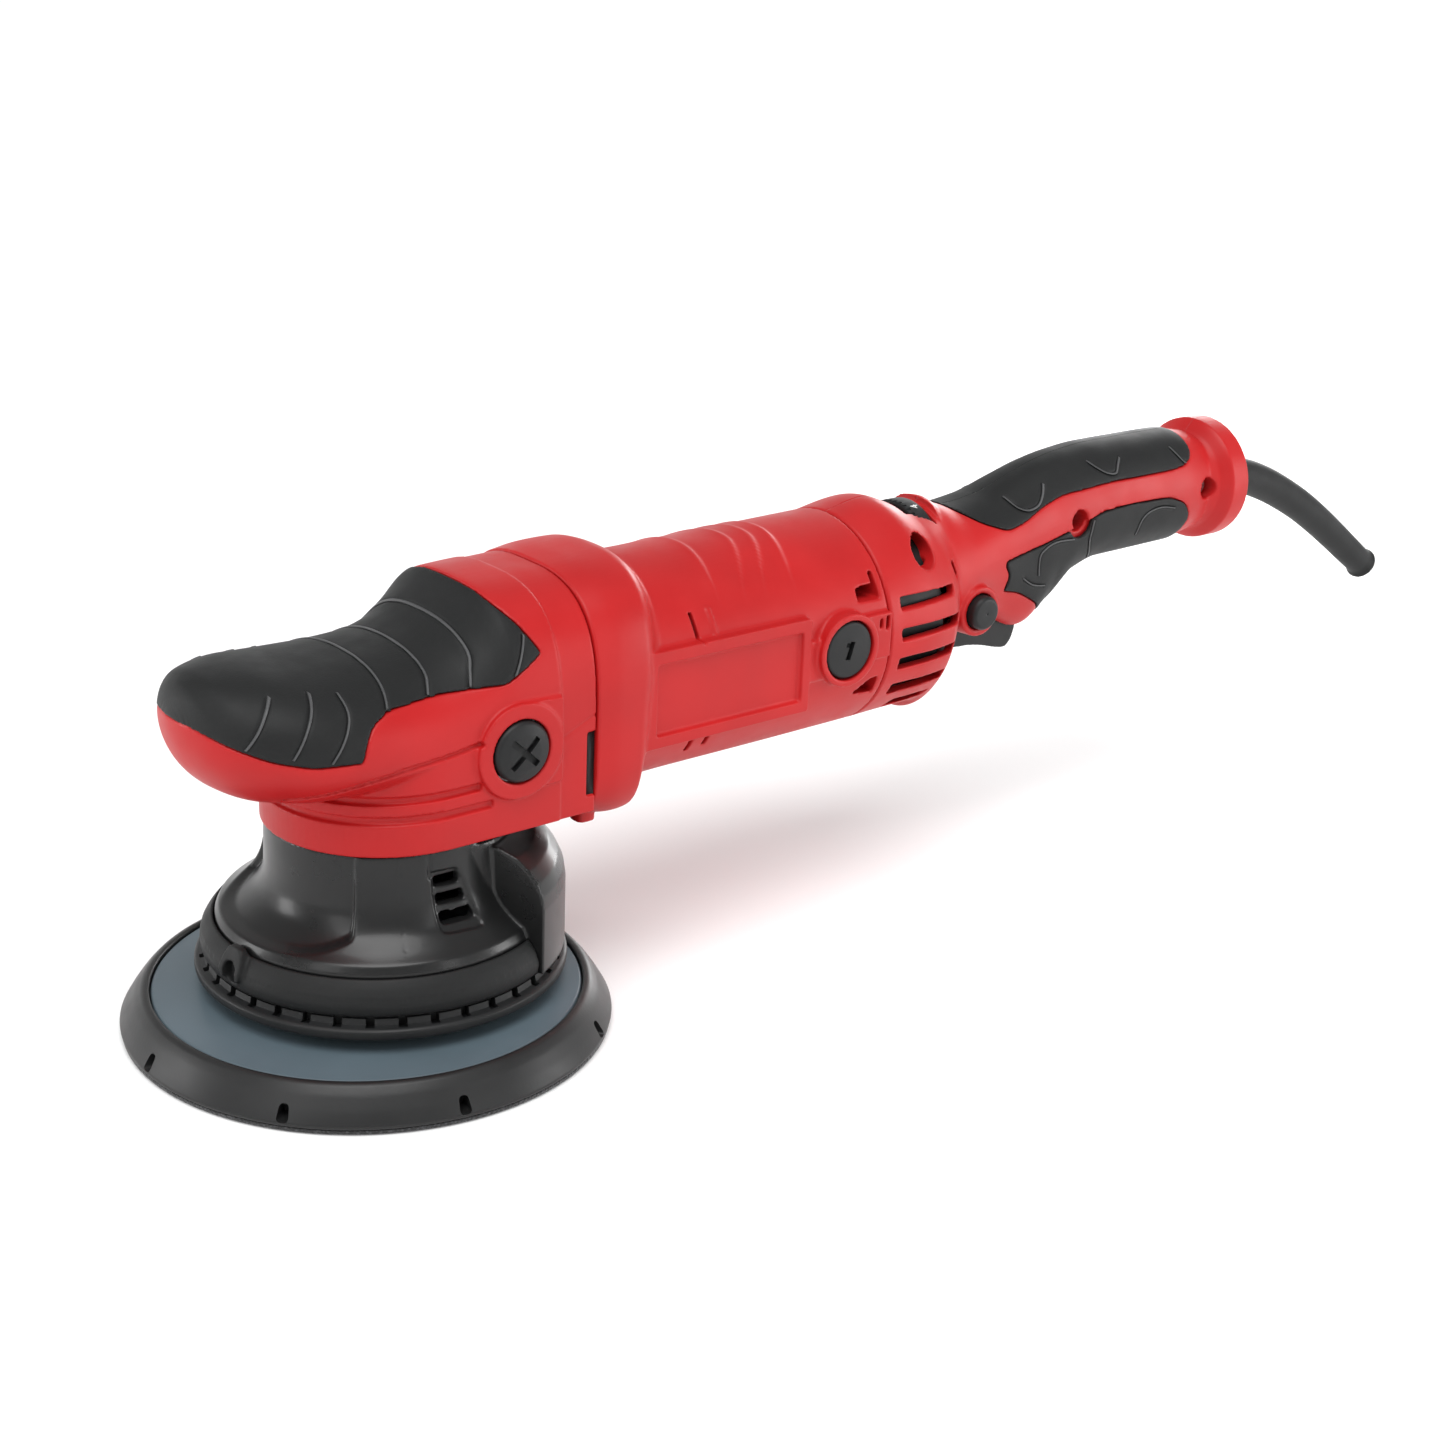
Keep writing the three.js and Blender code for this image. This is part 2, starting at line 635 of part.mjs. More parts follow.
function shroudParts() {
  const skirt = ring("z", 45, SKIRT_RADIUS, SKIRT_BOTTOM, SKIRT_BOTTOM + 3.4, [0, 0, 0], SHROUD_FACETS);
  const shelf = ring("z", 45, 54, SKIRT_BOTTOM, SKIRT_TOP, [0, 0, 0], SHROUD_FACETS);
  const slots = [];
  const slotCount = 12;
  for (let i = 0; i < slotCount; i++) {
    const slot = new THREE.BoxGeometry(5, 1.8, 2.2);
    slot.translate(54, 0, SKIRT_TOP - 1.2);
    slot.rotateZ((2 * Math.PI * (i + 0.5)) / slotCount);
    slots.push(solid(slot));
  }
  add("skirt_ring", BLACK, cut(union(skirt, shelf), ...slots));

  const bell = [
    [FOOT_INSIDE, BELL_BOTTOM],
    [BELL_FOOT_RADIUS, BELL_BOTTOM],
    [BELL_FOOT_RADIUS, 35.6],
    [44.6, 38.6],
    [39.6, 42],
    [36.8, 47],
    [35.8, 55],
    [34.8, BELL_TOP],
    [19, BELL_TOP],
    [19, BELL_TOP - 2.6],
    ...BELL_INSIDE,
  ];
  const guard = (grow) => {
    const profile = [
      [0, BELL_BOTTOM],
      [GUARD_RADIUS + grow, BELL_BOTTOM],
      [GUARD_RADIUS + grow, 46],
      [54.4 + grow, 51.5],
      [51 + grow, 55.5 + grow],
      [44, 60.6 + grow],
      [0, 60.6 + grow],
    ];
    const tip = -grow / Math.sin(GUARD_HALF_ANGLE);
    const far = [80 * Math.cos(GUARD_HALF_ANGLE), 80 * Math.sin(GUARD_HALF_ANGLE)];
    const wedge = [
      [tip, 0],
      [tip + far[0], -far[1]],
      [90, 0],
      [tip + far[0], far[1]],
    ];
    return turned("z", profile, [0, 0, 0], SHROUD_FACETS).intersect(planPrism(wedge, 20, 70));
  };
  const cavity = [[0, 62.8], ...BELL_INSIDE, [FOOT_INSIDE, 20], [0, 20]];
  const inner = turned("z", cavity, [0, 0, 0], SHROUD_FACETS);
  const louvres = [52.5, 47.5, 42.5].map((z) => box([-1, -60, z - 1.4], [9.5, 60, z + 1.4]));
  const outside = union(turned("z", bell, [0, 0, 0], SHROUD_FACETS), guard(0));
  const body = cut(outside, inner, guard(-WALL), ...louvres);
  add("shroud_bell", GLOSS_BLACK, body);

  const band = [
    [BELL_FOOT_RADIUS + GAP, 23.2],
    [54, 23.2],
    [55, 26.4],
    [51.8, 33.4],
    [BELL_FOOT_RADIUS + GAP, 34.2],
  ];
  add("bumper_band", RUBBER, cut(turned("z", band, [0, 0, 0], SHROUD_FACETS), guard(GAP)));
}

// ---------------------------------------------------------------- the motor housing
function motorHousing() {
  const axis = [0, 0, MOTOR_AXIS];
  const pad = (side) => {
    const [a, b] = side < 0 ? [-PANEL_FACE, -30] : [30, PANEL_FACE];
    return box([74, a, 80.5], [138, b, 112]);
  };
  const panel = (side) => {
    const [a, b] = side < 0 ? [-60, -PANEL_FACE + 0.6] : [PANEL_FACE - 0.6, 60];
    return box([74, a, 84.5], [135, b, 107.5]);
  };
  const bosses = rod("y", 11.9, -37.6, 37.6, [BRUSH_X, 0, BRUSH_Z], 20);
  const outside = union(bodyOf(HOUSING_STATIONS), pad(-1), pad(1), bosses);
  const windows = [
    [110, 117],
    [76, 83],
  ].map(([low, high]) => box([162, -60, low], [170, 60, high]));
  const cavity = union(
    rod("x", 34, 50, 164, axis, 24),
    rod("x", 11.4, 160, 172.7, axis),
    rod("x", 5, 160, 176, axis),
  );
  const body = cut(
    outside,
    cavity,
    panel(-1),
    panel(1),
    ...windows,
    rod("y", BRUSH_CAP_RADIUS + GAP, -60, 60, [BRUSH_X, 0, BRUSH_Z], 20),
  );
  add("motor_housing", RED, body);

  add("stator_core", DARK_STEEL, ring("x", 20.2, 33.5, 88.2, 136, axis, 24));
  const field = (from, to) => [
    [22, from],
    [28, from],
    [31, from + 2.5],
    [31, to - 2.5],
    [28, to],
    [22, to],
  ];
  add("field_coil_front", COPPER, turned("x", field(79.5, 87.9), axis));
  add("field_coil_rear", COPPER, turned("x", field(136.3, 143), axis));

  [-1, 1].forEach((side) => {
    const name = side < 0 ? "left" : "right";
    const span = (a, b) => (side < 0 ? [-b, -a] : [a, b]);
    const [brushA, brushB] = span(12.3, 25);
    const brush = box([BRUSH_X - 4, brushA, 94.9], [BRUSH_X + 4, brushB, 99.9]);
    add("carbon_brush_" + name, CARBON, brush);
    const [holderA, holderB] = span(15.5, 33);
    const [boreA, boreB] = span(15, 31);
    const holder = cut(
      box([BRUSH_X - 6.2, holderA, 92.6], [BRUSH_X + 6.2, holderB, 102.2]),
      box([BRUSH_X - 4.4, boreA, 94.5], [BRUSH_X + 4.4, boreB, 100.3]),
    );
    add("brush_holder_" + name, BRASS, holder);
    const cap = cut(
      rod("y", BRUSH_CAP_RADIUS, ...span(33.4, 38), [BRUSH_X, 0, BRUSH_Z], 20),
      box([BRUSH_X - 0.9, span(37, 39)[0], 93.6], [BRUSH_X + 0.9, span(37, 39)[1], 101.2]),
    );
    add("brush_cap_" + name, BLACK, cap);
  });
}

// ---------------------------------------------------------------- the rear handle
// Side outlines of the rubber grips, as [x, z] points.
const UPPER_GRIP = [
  [222, 150],
  [227, 128.4],
  [235, 123.4],
  [246, 119.6],
  [255, 121.6],
  [264, 125.4],
  [274, 128.2],
  [298, 129.8],
  [330, 129.8],
  [340, 130.6],
  [345.6, 134.4],
  [346, 150],
];
const LOWER_GRIP = [
  [242.6, 109.3],
  [263.5, 112.4],
  [283, 116.8],
  [294, 120.2],
  [309, 121],
  [330, 120.4],
  [339, 117],
  [344, 110.5],
  [343, 103],
  [340, 60],
  [276, 60],
  [272, 82],
  [264, 90],
  [253, 96],
  [244.8, 98.3],
  [246.4, 104],
];
const HANDLE_SCREWS = [
  { name: "front", x: 196, z: 122.4, bore: 4.6, seat: 14, end: 12 },
  { name: "middle", x: 282, z: 118.2, bore: 4, seat: 11, end: 11 },
  { name: "rear", x: 352, z: 120.4, bore: 4, seat: 13.5, end: -9.2 },
];
const TRIGGER_OUTLINE = [
  [219.5, 90],
  [220.4, 81],
  [224, 77.4],
  [231, 75.8],
  [240, 75.4],
  [247, 74.2],
  [255, 71.8],
  [260, 71],
  [262.8, 74],
  [264.8, 81],
  [260, 88.6],
  [232, 93],
];
const LOCK_REACH = 26.5;

const HALF_GAP = 0.15; // from the middle plane to either half of the handle

// Everything on one side of the handle's middle plane.
function halfSpace(side) {
  if (side < 0) return box([150, -60, 40], [400, -HALF_GAP, 160]);
  return box([150, HALF_GAP, 40], [400, 60, 160]);
}

// The hollow post that a screw runs in, on one side of the handle.
function screwTowers({ x, z, bore, end }, side) {
  const reach = bodyHalfAt(x, z);
  const post = (from, to) => [rod("y", bore + 1.6, from, to, [x, 0, z], 12)];
  if (side < 0) return post(-reach, end > 0 ? -HALF_GAP : -8.6);
  return end > 0 ? post(HALF_GAP, Math.min(reach, end + 6)) : [];
}

function screwBores({ x, z, bore, seat, end }, side) {
  const hole = (radius, from, to) => rod("y", radius, from, to, [x, 0, z], 12);
  const shank = 2.1;
  if (side < 0) return [hole(bore, -60, -seat + 2.6), hole(shank, -seat, end > 0 ? 1 : end + 0.4)];
  return end > 0 ? [hole(shank, -1, end + 0.4)] : [];
}

function handleShells() {
  const flange = [
    [0, 352],
    [17.5, 354.8],
    [21.9, 359.4],
    [TAIL_RADIUS, FLANGE_FRONT],
    [TAIL_RADIUS, TAIL_END - 1],
    [TAIL_RADIUS - 1, TAIL_END],
    [0, TAIL_END],
  ];
  const inside = bodyOf(HANDLE_STATIONS, -WALL - 1.4, { front: -5, rear: -10 });
  const shell = cut(
    union(bodyOf(HANDLE_STATIONS), turned("x", flange, [0, 0, HANDLE_AXIS], 24)),
    inside,
    rod("x", 32, BARREL_REAR - 5, 200, [0, 0, MOTOR_AXIS], 20),
  );
  const lockCup = cut(rod("y", LOCK_RADIUS + 2.4, -23.2, -10, [LOCK_X, 0, LOCK_Z]), inside);
  const lockBore = rod("y", LOCK_RADIUS + GAP, -60, -9, [LOCK_X, 0, LOCK_Z]);
  const vents = [109, 98.6, 88.2, 77.8, 69.6].map((z) =>
    box([180, -60, z - 1.7], [z > 70 ? 206 : 201, 60, z + 1.7]),
  );
  const gripBeds = [UPPER_GRIP, LOWER_GRIP].map((outline) =>
    cut(sidePrism(outline, -60, 60), bodyOf(HANDLE_STATIONS, -1.8)),
  );
  const openings = [
    box([217.6, -TRIGGER_HALF - 0.6, 60], [266, TRIGGER_HALF + 0.6, 97]),
    rod("x", DIAL_RADIUS + 0.6, DIAL_X - 4.3, DIAL_X + 4.3, [0, 0, DIAL_Z], 24),
    rod("x", 8.2, 340, 380, [0, 0, HANDLE_AXIS]),
    rod("x", 10.9, 356.7, 360.3, [0, 0, HANDLE_AXIS]),
  ];

  [-1, 1].forEach((side) => {
    const name = side < 0 ? "left" : "right";
    const towers = HANDLE_SCREWS.flatMap((screw) => screwTowers(screw, side));
    const bores = HANDLE_SCREWS.flatMap((screw) => screwBores(screw, side));
    const half = union(shell.intersect(halfSpace(side)), ...towers);
    const body = side < 0 ? cut(union(half, lockCup), lockBore) : half;
    add("handle_shell_" + name, RED, cut(body, ...vents, ...gripBeds, ...openings, ...bores));
  });

  HANDLE_SCREWS.forEach(({ name, x, z, seat, end }) => {
    const screw = [
      [0, -seat],
      [3.4, -seat],
      [3.4, -seat + 2.2],
      [1.8, -seat + 2.3],
      [1.8, end],
      [0, end],
    ];
    add("handle_screw_" + name, STEEL, turned("y", screw, [x, 0, z], 10));
  });
}

// How far the handle's skin is from the middle plane at a height, between two stations.
function bodyHalfAt(x, z) {
  const i = HANDLE_STATIONS.findIndex((station) => station.x >= x);
  const [a, b] = [HANDLE_STATIONS[Math.max(0, i - 1)], HANDLE_STATIONS[i]];
  const t = (x - a.x) / (b.x - a.x || 1);
  const mix = (key) => a[key] + (b[key] - a[key]) * t;
  const reach = z > mix("middle") ? mix("top") - mix("middle") : mix("middle") - mix("bottom");
  const n = mix("power");
  const height = Math.abs(z - mix("middle")) / reach;
  return mix("half") * (1 - height ** n) ** (1 / n) - 0.8;
}

// A closed outline drawn in by an even margin, with mitred corners.
function insetOutline(outline, by) {
  const points = outline.map(([x, z]) => new THREE.Vector2(x, z));
  const inward = THREE.ShapeUtils.isClockWise(points) ? -1 : 1;
  const count = points.length;
  return points.map((p, i) => {
    const into = p.clone().sub(points[(i + count - 1) % count]).normalize();
    const out = points[(i + 1) % count].clone().sub(p).normalize();
    const a = new THREE.Vector2(-into.y, into.x);
    const b = new THREE.Vector2(-out.y, out.x);
    const mitre = a.clone().add(b).multiplyScalar((inward * by) / (1 + a.dot(b)));
    return [p.x + mitre.x, p.y + mitre.y];
  });
}

function grips() {
  const keepOuts = HANDLE_SCREWS.map(({ x, z, bore }) => rod("y", bore + 2, -60, 60, [x, 0, z], 12));
  const triggerRoom = box([216, -TRIGGER_HALF - 1, 60], [267, TRIGGER_HALF + 1, 98]);
  const dialRoom = rod("x", DIAL_RADIUS + 1, DIAL_X - 5, DIAL_X + 5, [0, 0, DIAL_Z], 24);
  const skin = cut(bodyOf(HANDLE_STATIONS, 0.3), bodyOf(HANDLE_STATIONS, -1.5));
  const layer = (outline) => skin.intersect(sidePrism(insetOutline(outline, 0.35), -60, 60));
  const upper = cut(layer(UPPER_GRIP), dialRoom);
  const lower = cut(layer(LOWER_GRIP), ...keepOuts, triggerRoom);
  [-1, 1].forEach((side) => {
    const name = side < 0 ? "left" : "right";
    add("grip_upper_" + name, RUBBER, largest(upper.intersect(halfSpace(side))));
    add("grip_lower_" + name, RUBBER, largest(lower.intersect(halfSpace(side))));
  });
}

function largest(body) {
  return body.decompose().sort((a, b) => b.volume() - a.volume())[0];
}

function controls() {
  const trigger = sidePrism(TRIGGER_OUTLINE, -TRIGGER_HALF, TRIGGER_HALF);
  add("trigger", BLACK, cut(trigger, rod("y", 1.9, -20, 20, [226, 0, 88], 14)));

  const button = [
    [0, -17],
    [LOCK_RADIUS, -17],
    [LOCK_RADIUS, -LOCK_REACH + 1],
    [LOCK_RADIUS - 1.2, -LOCK_REACH],
    [0, -LOCK_REACH],
  ];
  add("lock_button", BLACK, turned("y", button, [LOCK_X, 0, LOCK_Z]));

  const ribs = [];
  const ribCount = 16;
  for (let i = 0; i < ribCount; i++) {
    const rib = new THREE.CylinderGeometry(0.8, 0.8, 12, 6);
    rib.rotateZ(Math.PI / 2);
    rib.translate(0, DIAL_RADIUS + 0.1, 0);
    rib.rotateX((2 * Math.PI * i) / ribCount);
    ribs.push(solid(rib.translate(DIAL_X, 0, DIAL_Z)));
  }
  const wheel = rod("x", DIAL_RADIUS, DIAL_X - 3.8, DIAL_X + 3.8, [0, 0, DIAL_Z], 32);
  add("speed_dial", BLACK, cut(wheel, ...ribs));

  add("speed_board", CIRCUIT_GREEN, box([214.4, -10, 100], [221, 10, 119]));
  add("switch_body", BLACK, box([236, -8, 99.5], [262, 8, 117]));
  add("trigger_pin", STEEL, rod("y", 1.7, -TRIGGER_HALF, TRIGGER_HALF, [226, 0, 88], 12));
  add("cord_clamp", BLACK, box([326, -9, 108.6], [334, 9, 112.4]));
}

// The cord guard: a hollow, tapered rubber sleeve that leaves the tail level and droops.
const GUARD_ROUTE = [
  [357, 119.4],
  [372, 119.2],
  [385, 117.6],
  [397.5, 114.4],
  [410, 109.6],
  [422, 103.8],
  [434, 97.2],
  [446, 89.6],
  [458, 81.4],
  [470, 72.9],
  [481, 65.2],
];

function cordGuard() {
  const route = new THREE.CatmullRomCurve3(GUARD_ROUTE.map(([x, z]) => new THREE.Vector3(x, 0, z)));
  const steps = 11;
  const count = 10;
  const ringAt = (t, radius) => {
    const middle = route.getPointAt(t);
    const ahead = route.getTangentAt(t);
    const across = new THREE.Vector3(0, 1, 0);
    const up = new THREE.Vector3().crossVectors(ahead, across);
    return Array.from({ length: count }, (_, j) => {
      const turn = (2 * Math.PI * j) / count;
      return middle
        .clone()
        .addScaledVector(across, radius * Math.cos(turn))
        .addScaledVector(up, -radius * Math.sin(turn));
    });
  };
  const sleeve = (radiusAt) =>
    loft(Array.from({ length: steps + 1 }, (_, i) => ringAt(i / steps, radiusAt(i / steps))));
  const lipFrom = 0.95;
  const outer = sleeve((t) => 7.6 - 1.9 * t + (t > lipFrom ? 1 : 0));
  const bore = sleeve(() => 4.2);
  const stretched = loft([0, 0.5, 1].map((s) => ringAt(0, 4.2).map((p) => p.clone().setX(352 + 6 * s))));
  const mouth = loft(
    [0, 1].map((s) => {
      const push = route.getTangentAt(1).multiplyScalar(s * 4 - 1);
      return ringAt(1, 4.2).map((p) => p.clone().add(push));
    }),
  );
  const collar = rod("x", 10.2, 357, 360, [0, 0, HANDLE_AXIS]);
  add("cord_guard", RUBBER, cut(union(outer, collar), bore, stretched, mouth));
}

padParts();
spindleParts();
armatureParts();
bearings();
gearCase();
headCover();
headPlugs();
shroudParts();
motorHousing();
handleShells();
grips();
controls();
cordGuard();

export default tool;
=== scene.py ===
"""The looks of a corded dual action polisher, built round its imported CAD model.

All sizes below are millimetres in the CAD frame: the origin is where the drive spindle's axis
meets the pad's face, +X runs to the tail and -Y is the operator's left.
"""
import json
import math
from contextlib import contextmanager

import bmesh
import bpy
import numpy as np
from mathutils import Matrix, Vector


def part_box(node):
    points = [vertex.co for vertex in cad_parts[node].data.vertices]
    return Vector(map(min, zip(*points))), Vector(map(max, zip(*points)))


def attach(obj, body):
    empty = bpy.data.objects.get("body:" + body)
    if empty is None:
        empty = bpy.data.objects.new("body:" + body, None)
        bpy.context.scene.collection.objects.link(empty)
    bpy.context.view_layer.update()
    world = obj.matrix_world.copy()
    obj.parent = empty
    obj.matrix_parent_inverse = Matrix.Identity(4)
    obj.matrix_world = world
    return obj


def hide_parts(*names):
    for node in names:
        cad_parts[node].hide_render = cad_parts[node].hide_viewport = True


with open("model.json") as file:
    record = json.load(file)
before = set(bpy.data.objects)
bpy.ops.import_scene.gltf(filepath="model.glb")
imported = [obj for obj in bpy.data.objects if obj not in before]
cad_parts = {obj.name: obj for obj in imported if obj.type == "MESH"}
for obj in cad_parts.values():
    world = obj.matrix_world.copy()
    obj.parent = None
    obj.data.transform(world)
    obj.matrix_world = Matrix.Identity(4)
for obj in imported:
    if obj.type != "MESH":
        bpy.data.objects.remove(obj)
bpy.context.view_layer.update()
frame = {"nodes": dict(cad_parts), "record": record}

MM = 0.001


# ------------------------------ driving dimensions
GAP = 0.3              # between neighbouring shells
WALL = 2.6
FIT = 0.35             # clearance round a plug, a cap or a button
FAR = 60.0             # beyond either side of the tool
SPLIT = 0.12           # half of the seam between the left and right halves
BED_DEPTH = 1.8        # of the beds for the rubber grips
GRIP_DEPTH = 1.5
CREASE_WIDTH = 1.5     # the fine lines over the grips
# the raised lines over the grips are painted a lighter grey, as painted highlight
PAINTED_HIGHLIGHT_WIDTH = 0.45
PAINTED_HIGHLIGHT_HEIGHT = 0.5
SIDES = ((-1, "left"), (1, "right"))
SECTION_POINTS = 128
NOSE_TIP = -67.8
HEAD_HALF = 37.6
HEAD_BOTTOM = 65.3
HEAD_REAR = 53.3
BLOCK_X = 1.5          # centre of the round front of the head's block
MOTOR_AXIS = 96.6
BARREL_RADIUS = 36.6
BARREL_REAR = 174.0
PANEL_FACE = 37.0
HANDLE_AXIS = 119.4
TAIL_RADIUS = 23.2
FLANGE_FRONT = 360.4
TAIL_END = 370.0
PLUG = (25.0, 91.5)    # this and the other pairs are (x, z)
PLUG_RADIUS = 9.8
BRUSH = (154.0, 98.8)
BRUSH_CAP_RADIUS = 9.9
LOCK = (227.0, 95.5)
LOCK_RADIUS = 6.2
DIAL = (209.5, 114.4)
DIAL_RADIUS = 18.0
TRIGGER_HALF = 7.6
GUARD_RADIUS = 56.4
GUARD_HALF_ANGLE = math.radians(63)
LOUVRE_AZIMUTH = -87
CLIP_AZIMUTH = -174
BOSS_FACE = 39.2

pad_low, pad_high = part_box("hook_face")
PAD_CENTRE = tuple((pad_low + pad_high) * 0.5 / MM)[:2]


# ------------------------------ meshes
def into_scene(name, data):
    """A new object in the scene, made of a mesh, a lamp, a camera or some text."""
    thing = bpy.data.objects.new(name, data)
    bpy.context.scene.collection.objects.link(thing)
    return thing


@contextmanager
def editing(mesh):
    """An editable form of a mesh, which is written back at the end."""
    shape = bmesh.new()
    shape.from_mesh(mesh)
    yield shape
    shape.to_mesh(mesh)
    shape.free()


def mesh_object(name, points, faces):
    """A mesh object from points in millimetres, with its faces turned outwards."""
    mesh = bpy.data.meshes.new(name)
    mesh.from_pydata([tuple(float(v) * MM for v in p) for p in points], [], faces)
    with editing(mesh) as shape:
        bmesh.ops.recalc_face_normals(shape, faces=shape.faces)
    return into_scene(name, mesh)


def side_faces(levels, count):
    """The four-sided faces between rings of the same number of points."""
    faces = []
    for i in range(levels - 1):
        for j in range(count):
            a, b = i * count + j, i * count + (j + 1) % count
            faces.append((a, b, b + count, a + count))
    return faces


def loft(name, rings):
    """A closed skin over rings of the same number of points."""
    count = len(rings[0])
    points = [p for ring in rings for p in ring]
    ends = [tuple(range(count)), tuple(range(len(points) - count, len(points)))]
    return mesh_object(name, points, side_faces(len(rings), count) + ends)


def place(axis, across, up, t):
    """A point from two distances across an axis and one along it."""
    if axis == "x":
        return (t, across, up)
    if axis == "y":
        return (across, t, up)
    return (across, up, t)


def rod(axis, radius, start, end, at=(0, 0), segments=64, taper=1.0):
    """A cylinder along an axis. at is its centre in the other two coordinates, in x, y, z order."""
    rings = []
    for t, r in ((start, radius), (end, radius * taper)):
        turn = np.linspace(0, 2 * math.pi, segments, endpoint=False)
        rings.append([place(axis, at[0] + r * math.cos(a), at[1] + r * math.sin(a), t) for a in turn])
    return loft("rod", rings)


def box(low, high):
    """A box between two opposite corners."""
    (x1, y1, z1), (x2, y2, z2) = low, high
    return loft("box", [[(x1, y1, z), (x2, y1, z), (x2, y2, z), (x1, y2, z)] for z in (z1, z2)])


def rounded(outline, radius, steps=5):
    """A closed outline with its corners turned into arcs, as far as its sides allow."""
    corners = np.array(outline, float)
    count = len(corners)
    result = []
    for i in range(count):
        here, before, after = corners[i], corners[i - 1], corners[(i + 1) % count]
        to_before, to_after = before - here, after - here
        reach_before, reach_after = np.linalg.norm(to_before), np.linalg.norm(to_after)
        reach = min(radius, 0.45 * reach_before, 0.45 * reach_after)
        start = here + to_before / reach_before * reach
        end = here + to_after / reach_after * reach
        for t in np.linspace(0, 1, steps):
            result.append(tuple((1 - t) ** 2 * start + 2 * t * (1 - t) * here + t**2 * end))
    return result


def prism(axis, outline, start, end):
    """A flat outline of pairs pushed along an axis."""
    rings = [[place(axis, a, b, t) for a, b in outline] for t in (start, end)]
    return loft("prism", rings)


def through(outline):
    """A side-view outline pushed right through the tool."""
    return prism("y", outline, -FAR, FAR)


def spun(thing, degrees, axis="Z"):
    """Turns a mesh about an axis through the origin."""
    thing.data.transform(Matrix.Rotation(math.radians(degrees), 4, axis))
    return thing


def moved(thing, x, y, z):
    """Shifts a mesh, in millimetres."""
    thing.data.transform(Matrix.Translation((x * MM, y * MM, z * MM)))
    return thing


def side_box(side, low, high):
    """A box given for the operator's right (side 1), or its mirror image (side -1)."""
    near, far = sorted((low[1] * side, high[1] * side))
    return box((low[0], near, low[2]), (high[0], far, high[2]))


def both_sides(low, high):
    """The same box on the operator's right and left."""
    return [side_box(side, low, high) for side in (1, -1)]


def side_prism(side, outline, start, end):
    """A side-view outline pushed outwards on the operator's right (1) or left (-1)."""
    return prism("y", outline, *sorted((start * side, end * side)))


def ribbon(path, width):
    """The outline of a band of even width along a path of pairs."""
    points = np.array(path, float)
    ahead = np.gradient(points, axis=0)
    ahead /= np.linalg.norm(ahead, axis=1)[:, None]
    side = np.stack([-ahead[:, 1], ahead[:, 0]], axis=1) * width / 2
    return [tuple(p) for p in points + side] + [tuple(p) for p in (points - side)[::-1]]


def smooth_path(points, steps=6):
    """A finer path through the same points, rounded by Catmull-Rom curves."""
    knots = np.array([points[0], *points, points[-1]], float)
    result = []
    for i in range(1, len(knots) - 2):
        before, a, b, after = knots[i - 1 : i + 3]
        for t in np.linspace(0, 1, steps, endpoint=False):
            square = (2 * before - 5 * a + 4 * b - after) * t**2
            cube = (3 * a - before - 3 * b + after) * t**3
            result.append(0.5 * (2 * a + (b - before) * t + square + cube))
    result.append(knots[-1])
    return [tuple(p) for p in result]


def turned(name, axis, profile, at=(0, 0), segments=128, relief=None):
    """A solid of revolution. profile is a closed outline of (radius, distance along the axis)."""
    turn = np.linspace(0, 2 * math.pi, segments, endpoint=False)
    points, faces = [], []
    count = len(profile)
    for a in turn:
        for r, t in profile:
            reach = r + (relief(a, r, t) if relief else 0)
            points.append(place(axis, at[0] + reach * math.cos(a), at[1] + reach * math.sin(a), t))
    for i in range(segments):
        for j in range(count):
            a, b = i * count, ((i + 1) % segments) * count
            k = (j + 1) % count
            faces.append((a + j, b + j, b + k, a + k))
    thing = mesh_object(name, points, faces)
    with editing(thing.data) as shape:
        bmesh.ops.remove_doubles(shape, verts=shape.verts, dist=1e-7)
        bmesh.ops.dissolve_degenerate(shape, edges=shape.edges, dist=1e-8)
        bmesh.ops.recalc_face_normals(shape, faces=shape.faces)
    return thing


def apply_modifiers(thing):
    """Bakes an object's modifiers into its mesh."""
    bpy.context.view_layer.update()
    graph = bpy.context.evaluated_depsgraph_get()
    mesh = bpy.data.meshes.new_from_object(thing.evaluated_get(graph))
    thing.modifiers.clear()
    thing.data = mesh
    return thing


def combine(operation, body, tools):
    """Joins, cuts or keeps the common part of closed meshes. The tools are used up."""
    for tool in tools:
        step = body.modifiers.new("step", "BOOLEAN")
        step.operation = operation
        step.solver = "MANIFOLD"
        step.object = tool
        apply_modifiers(body)
        bpy.data.objects.remove(tool)
    return body


def union(body, *tools):
    return combine("UNION", body, tools)


def cut(body, *tools):
    return combine("DIFFERENCE", body, tools)


def common(body, *tools):
    return combine("INTERSECT", body, tools)


def copy_of(thing):
    twin = thing.copy()
    twin.data = thing.data.copy()
    bpy.context.scene.collection.objects.link(twin)
    return twin


def soften(thing, keep=0.4, voxel=0.5, rounds=2):
    """Melts a boolean result into one moulded skin with small even fillets."""
    remesh = thing.modifiers.new("remesh", "REMESH")
    remesh.mode = "VOXEL"
    remesh.voxel_size = voxel * MM
    relax = thing.modifiers.new("relax", "SMOOTH")
    relax.factor = 0.5
    relax.iterations = rounds
    thin = thing.modifiers.new("thin", "DECIMATE")
    thin.ratio = keep
    return apply_modifiers(thing)


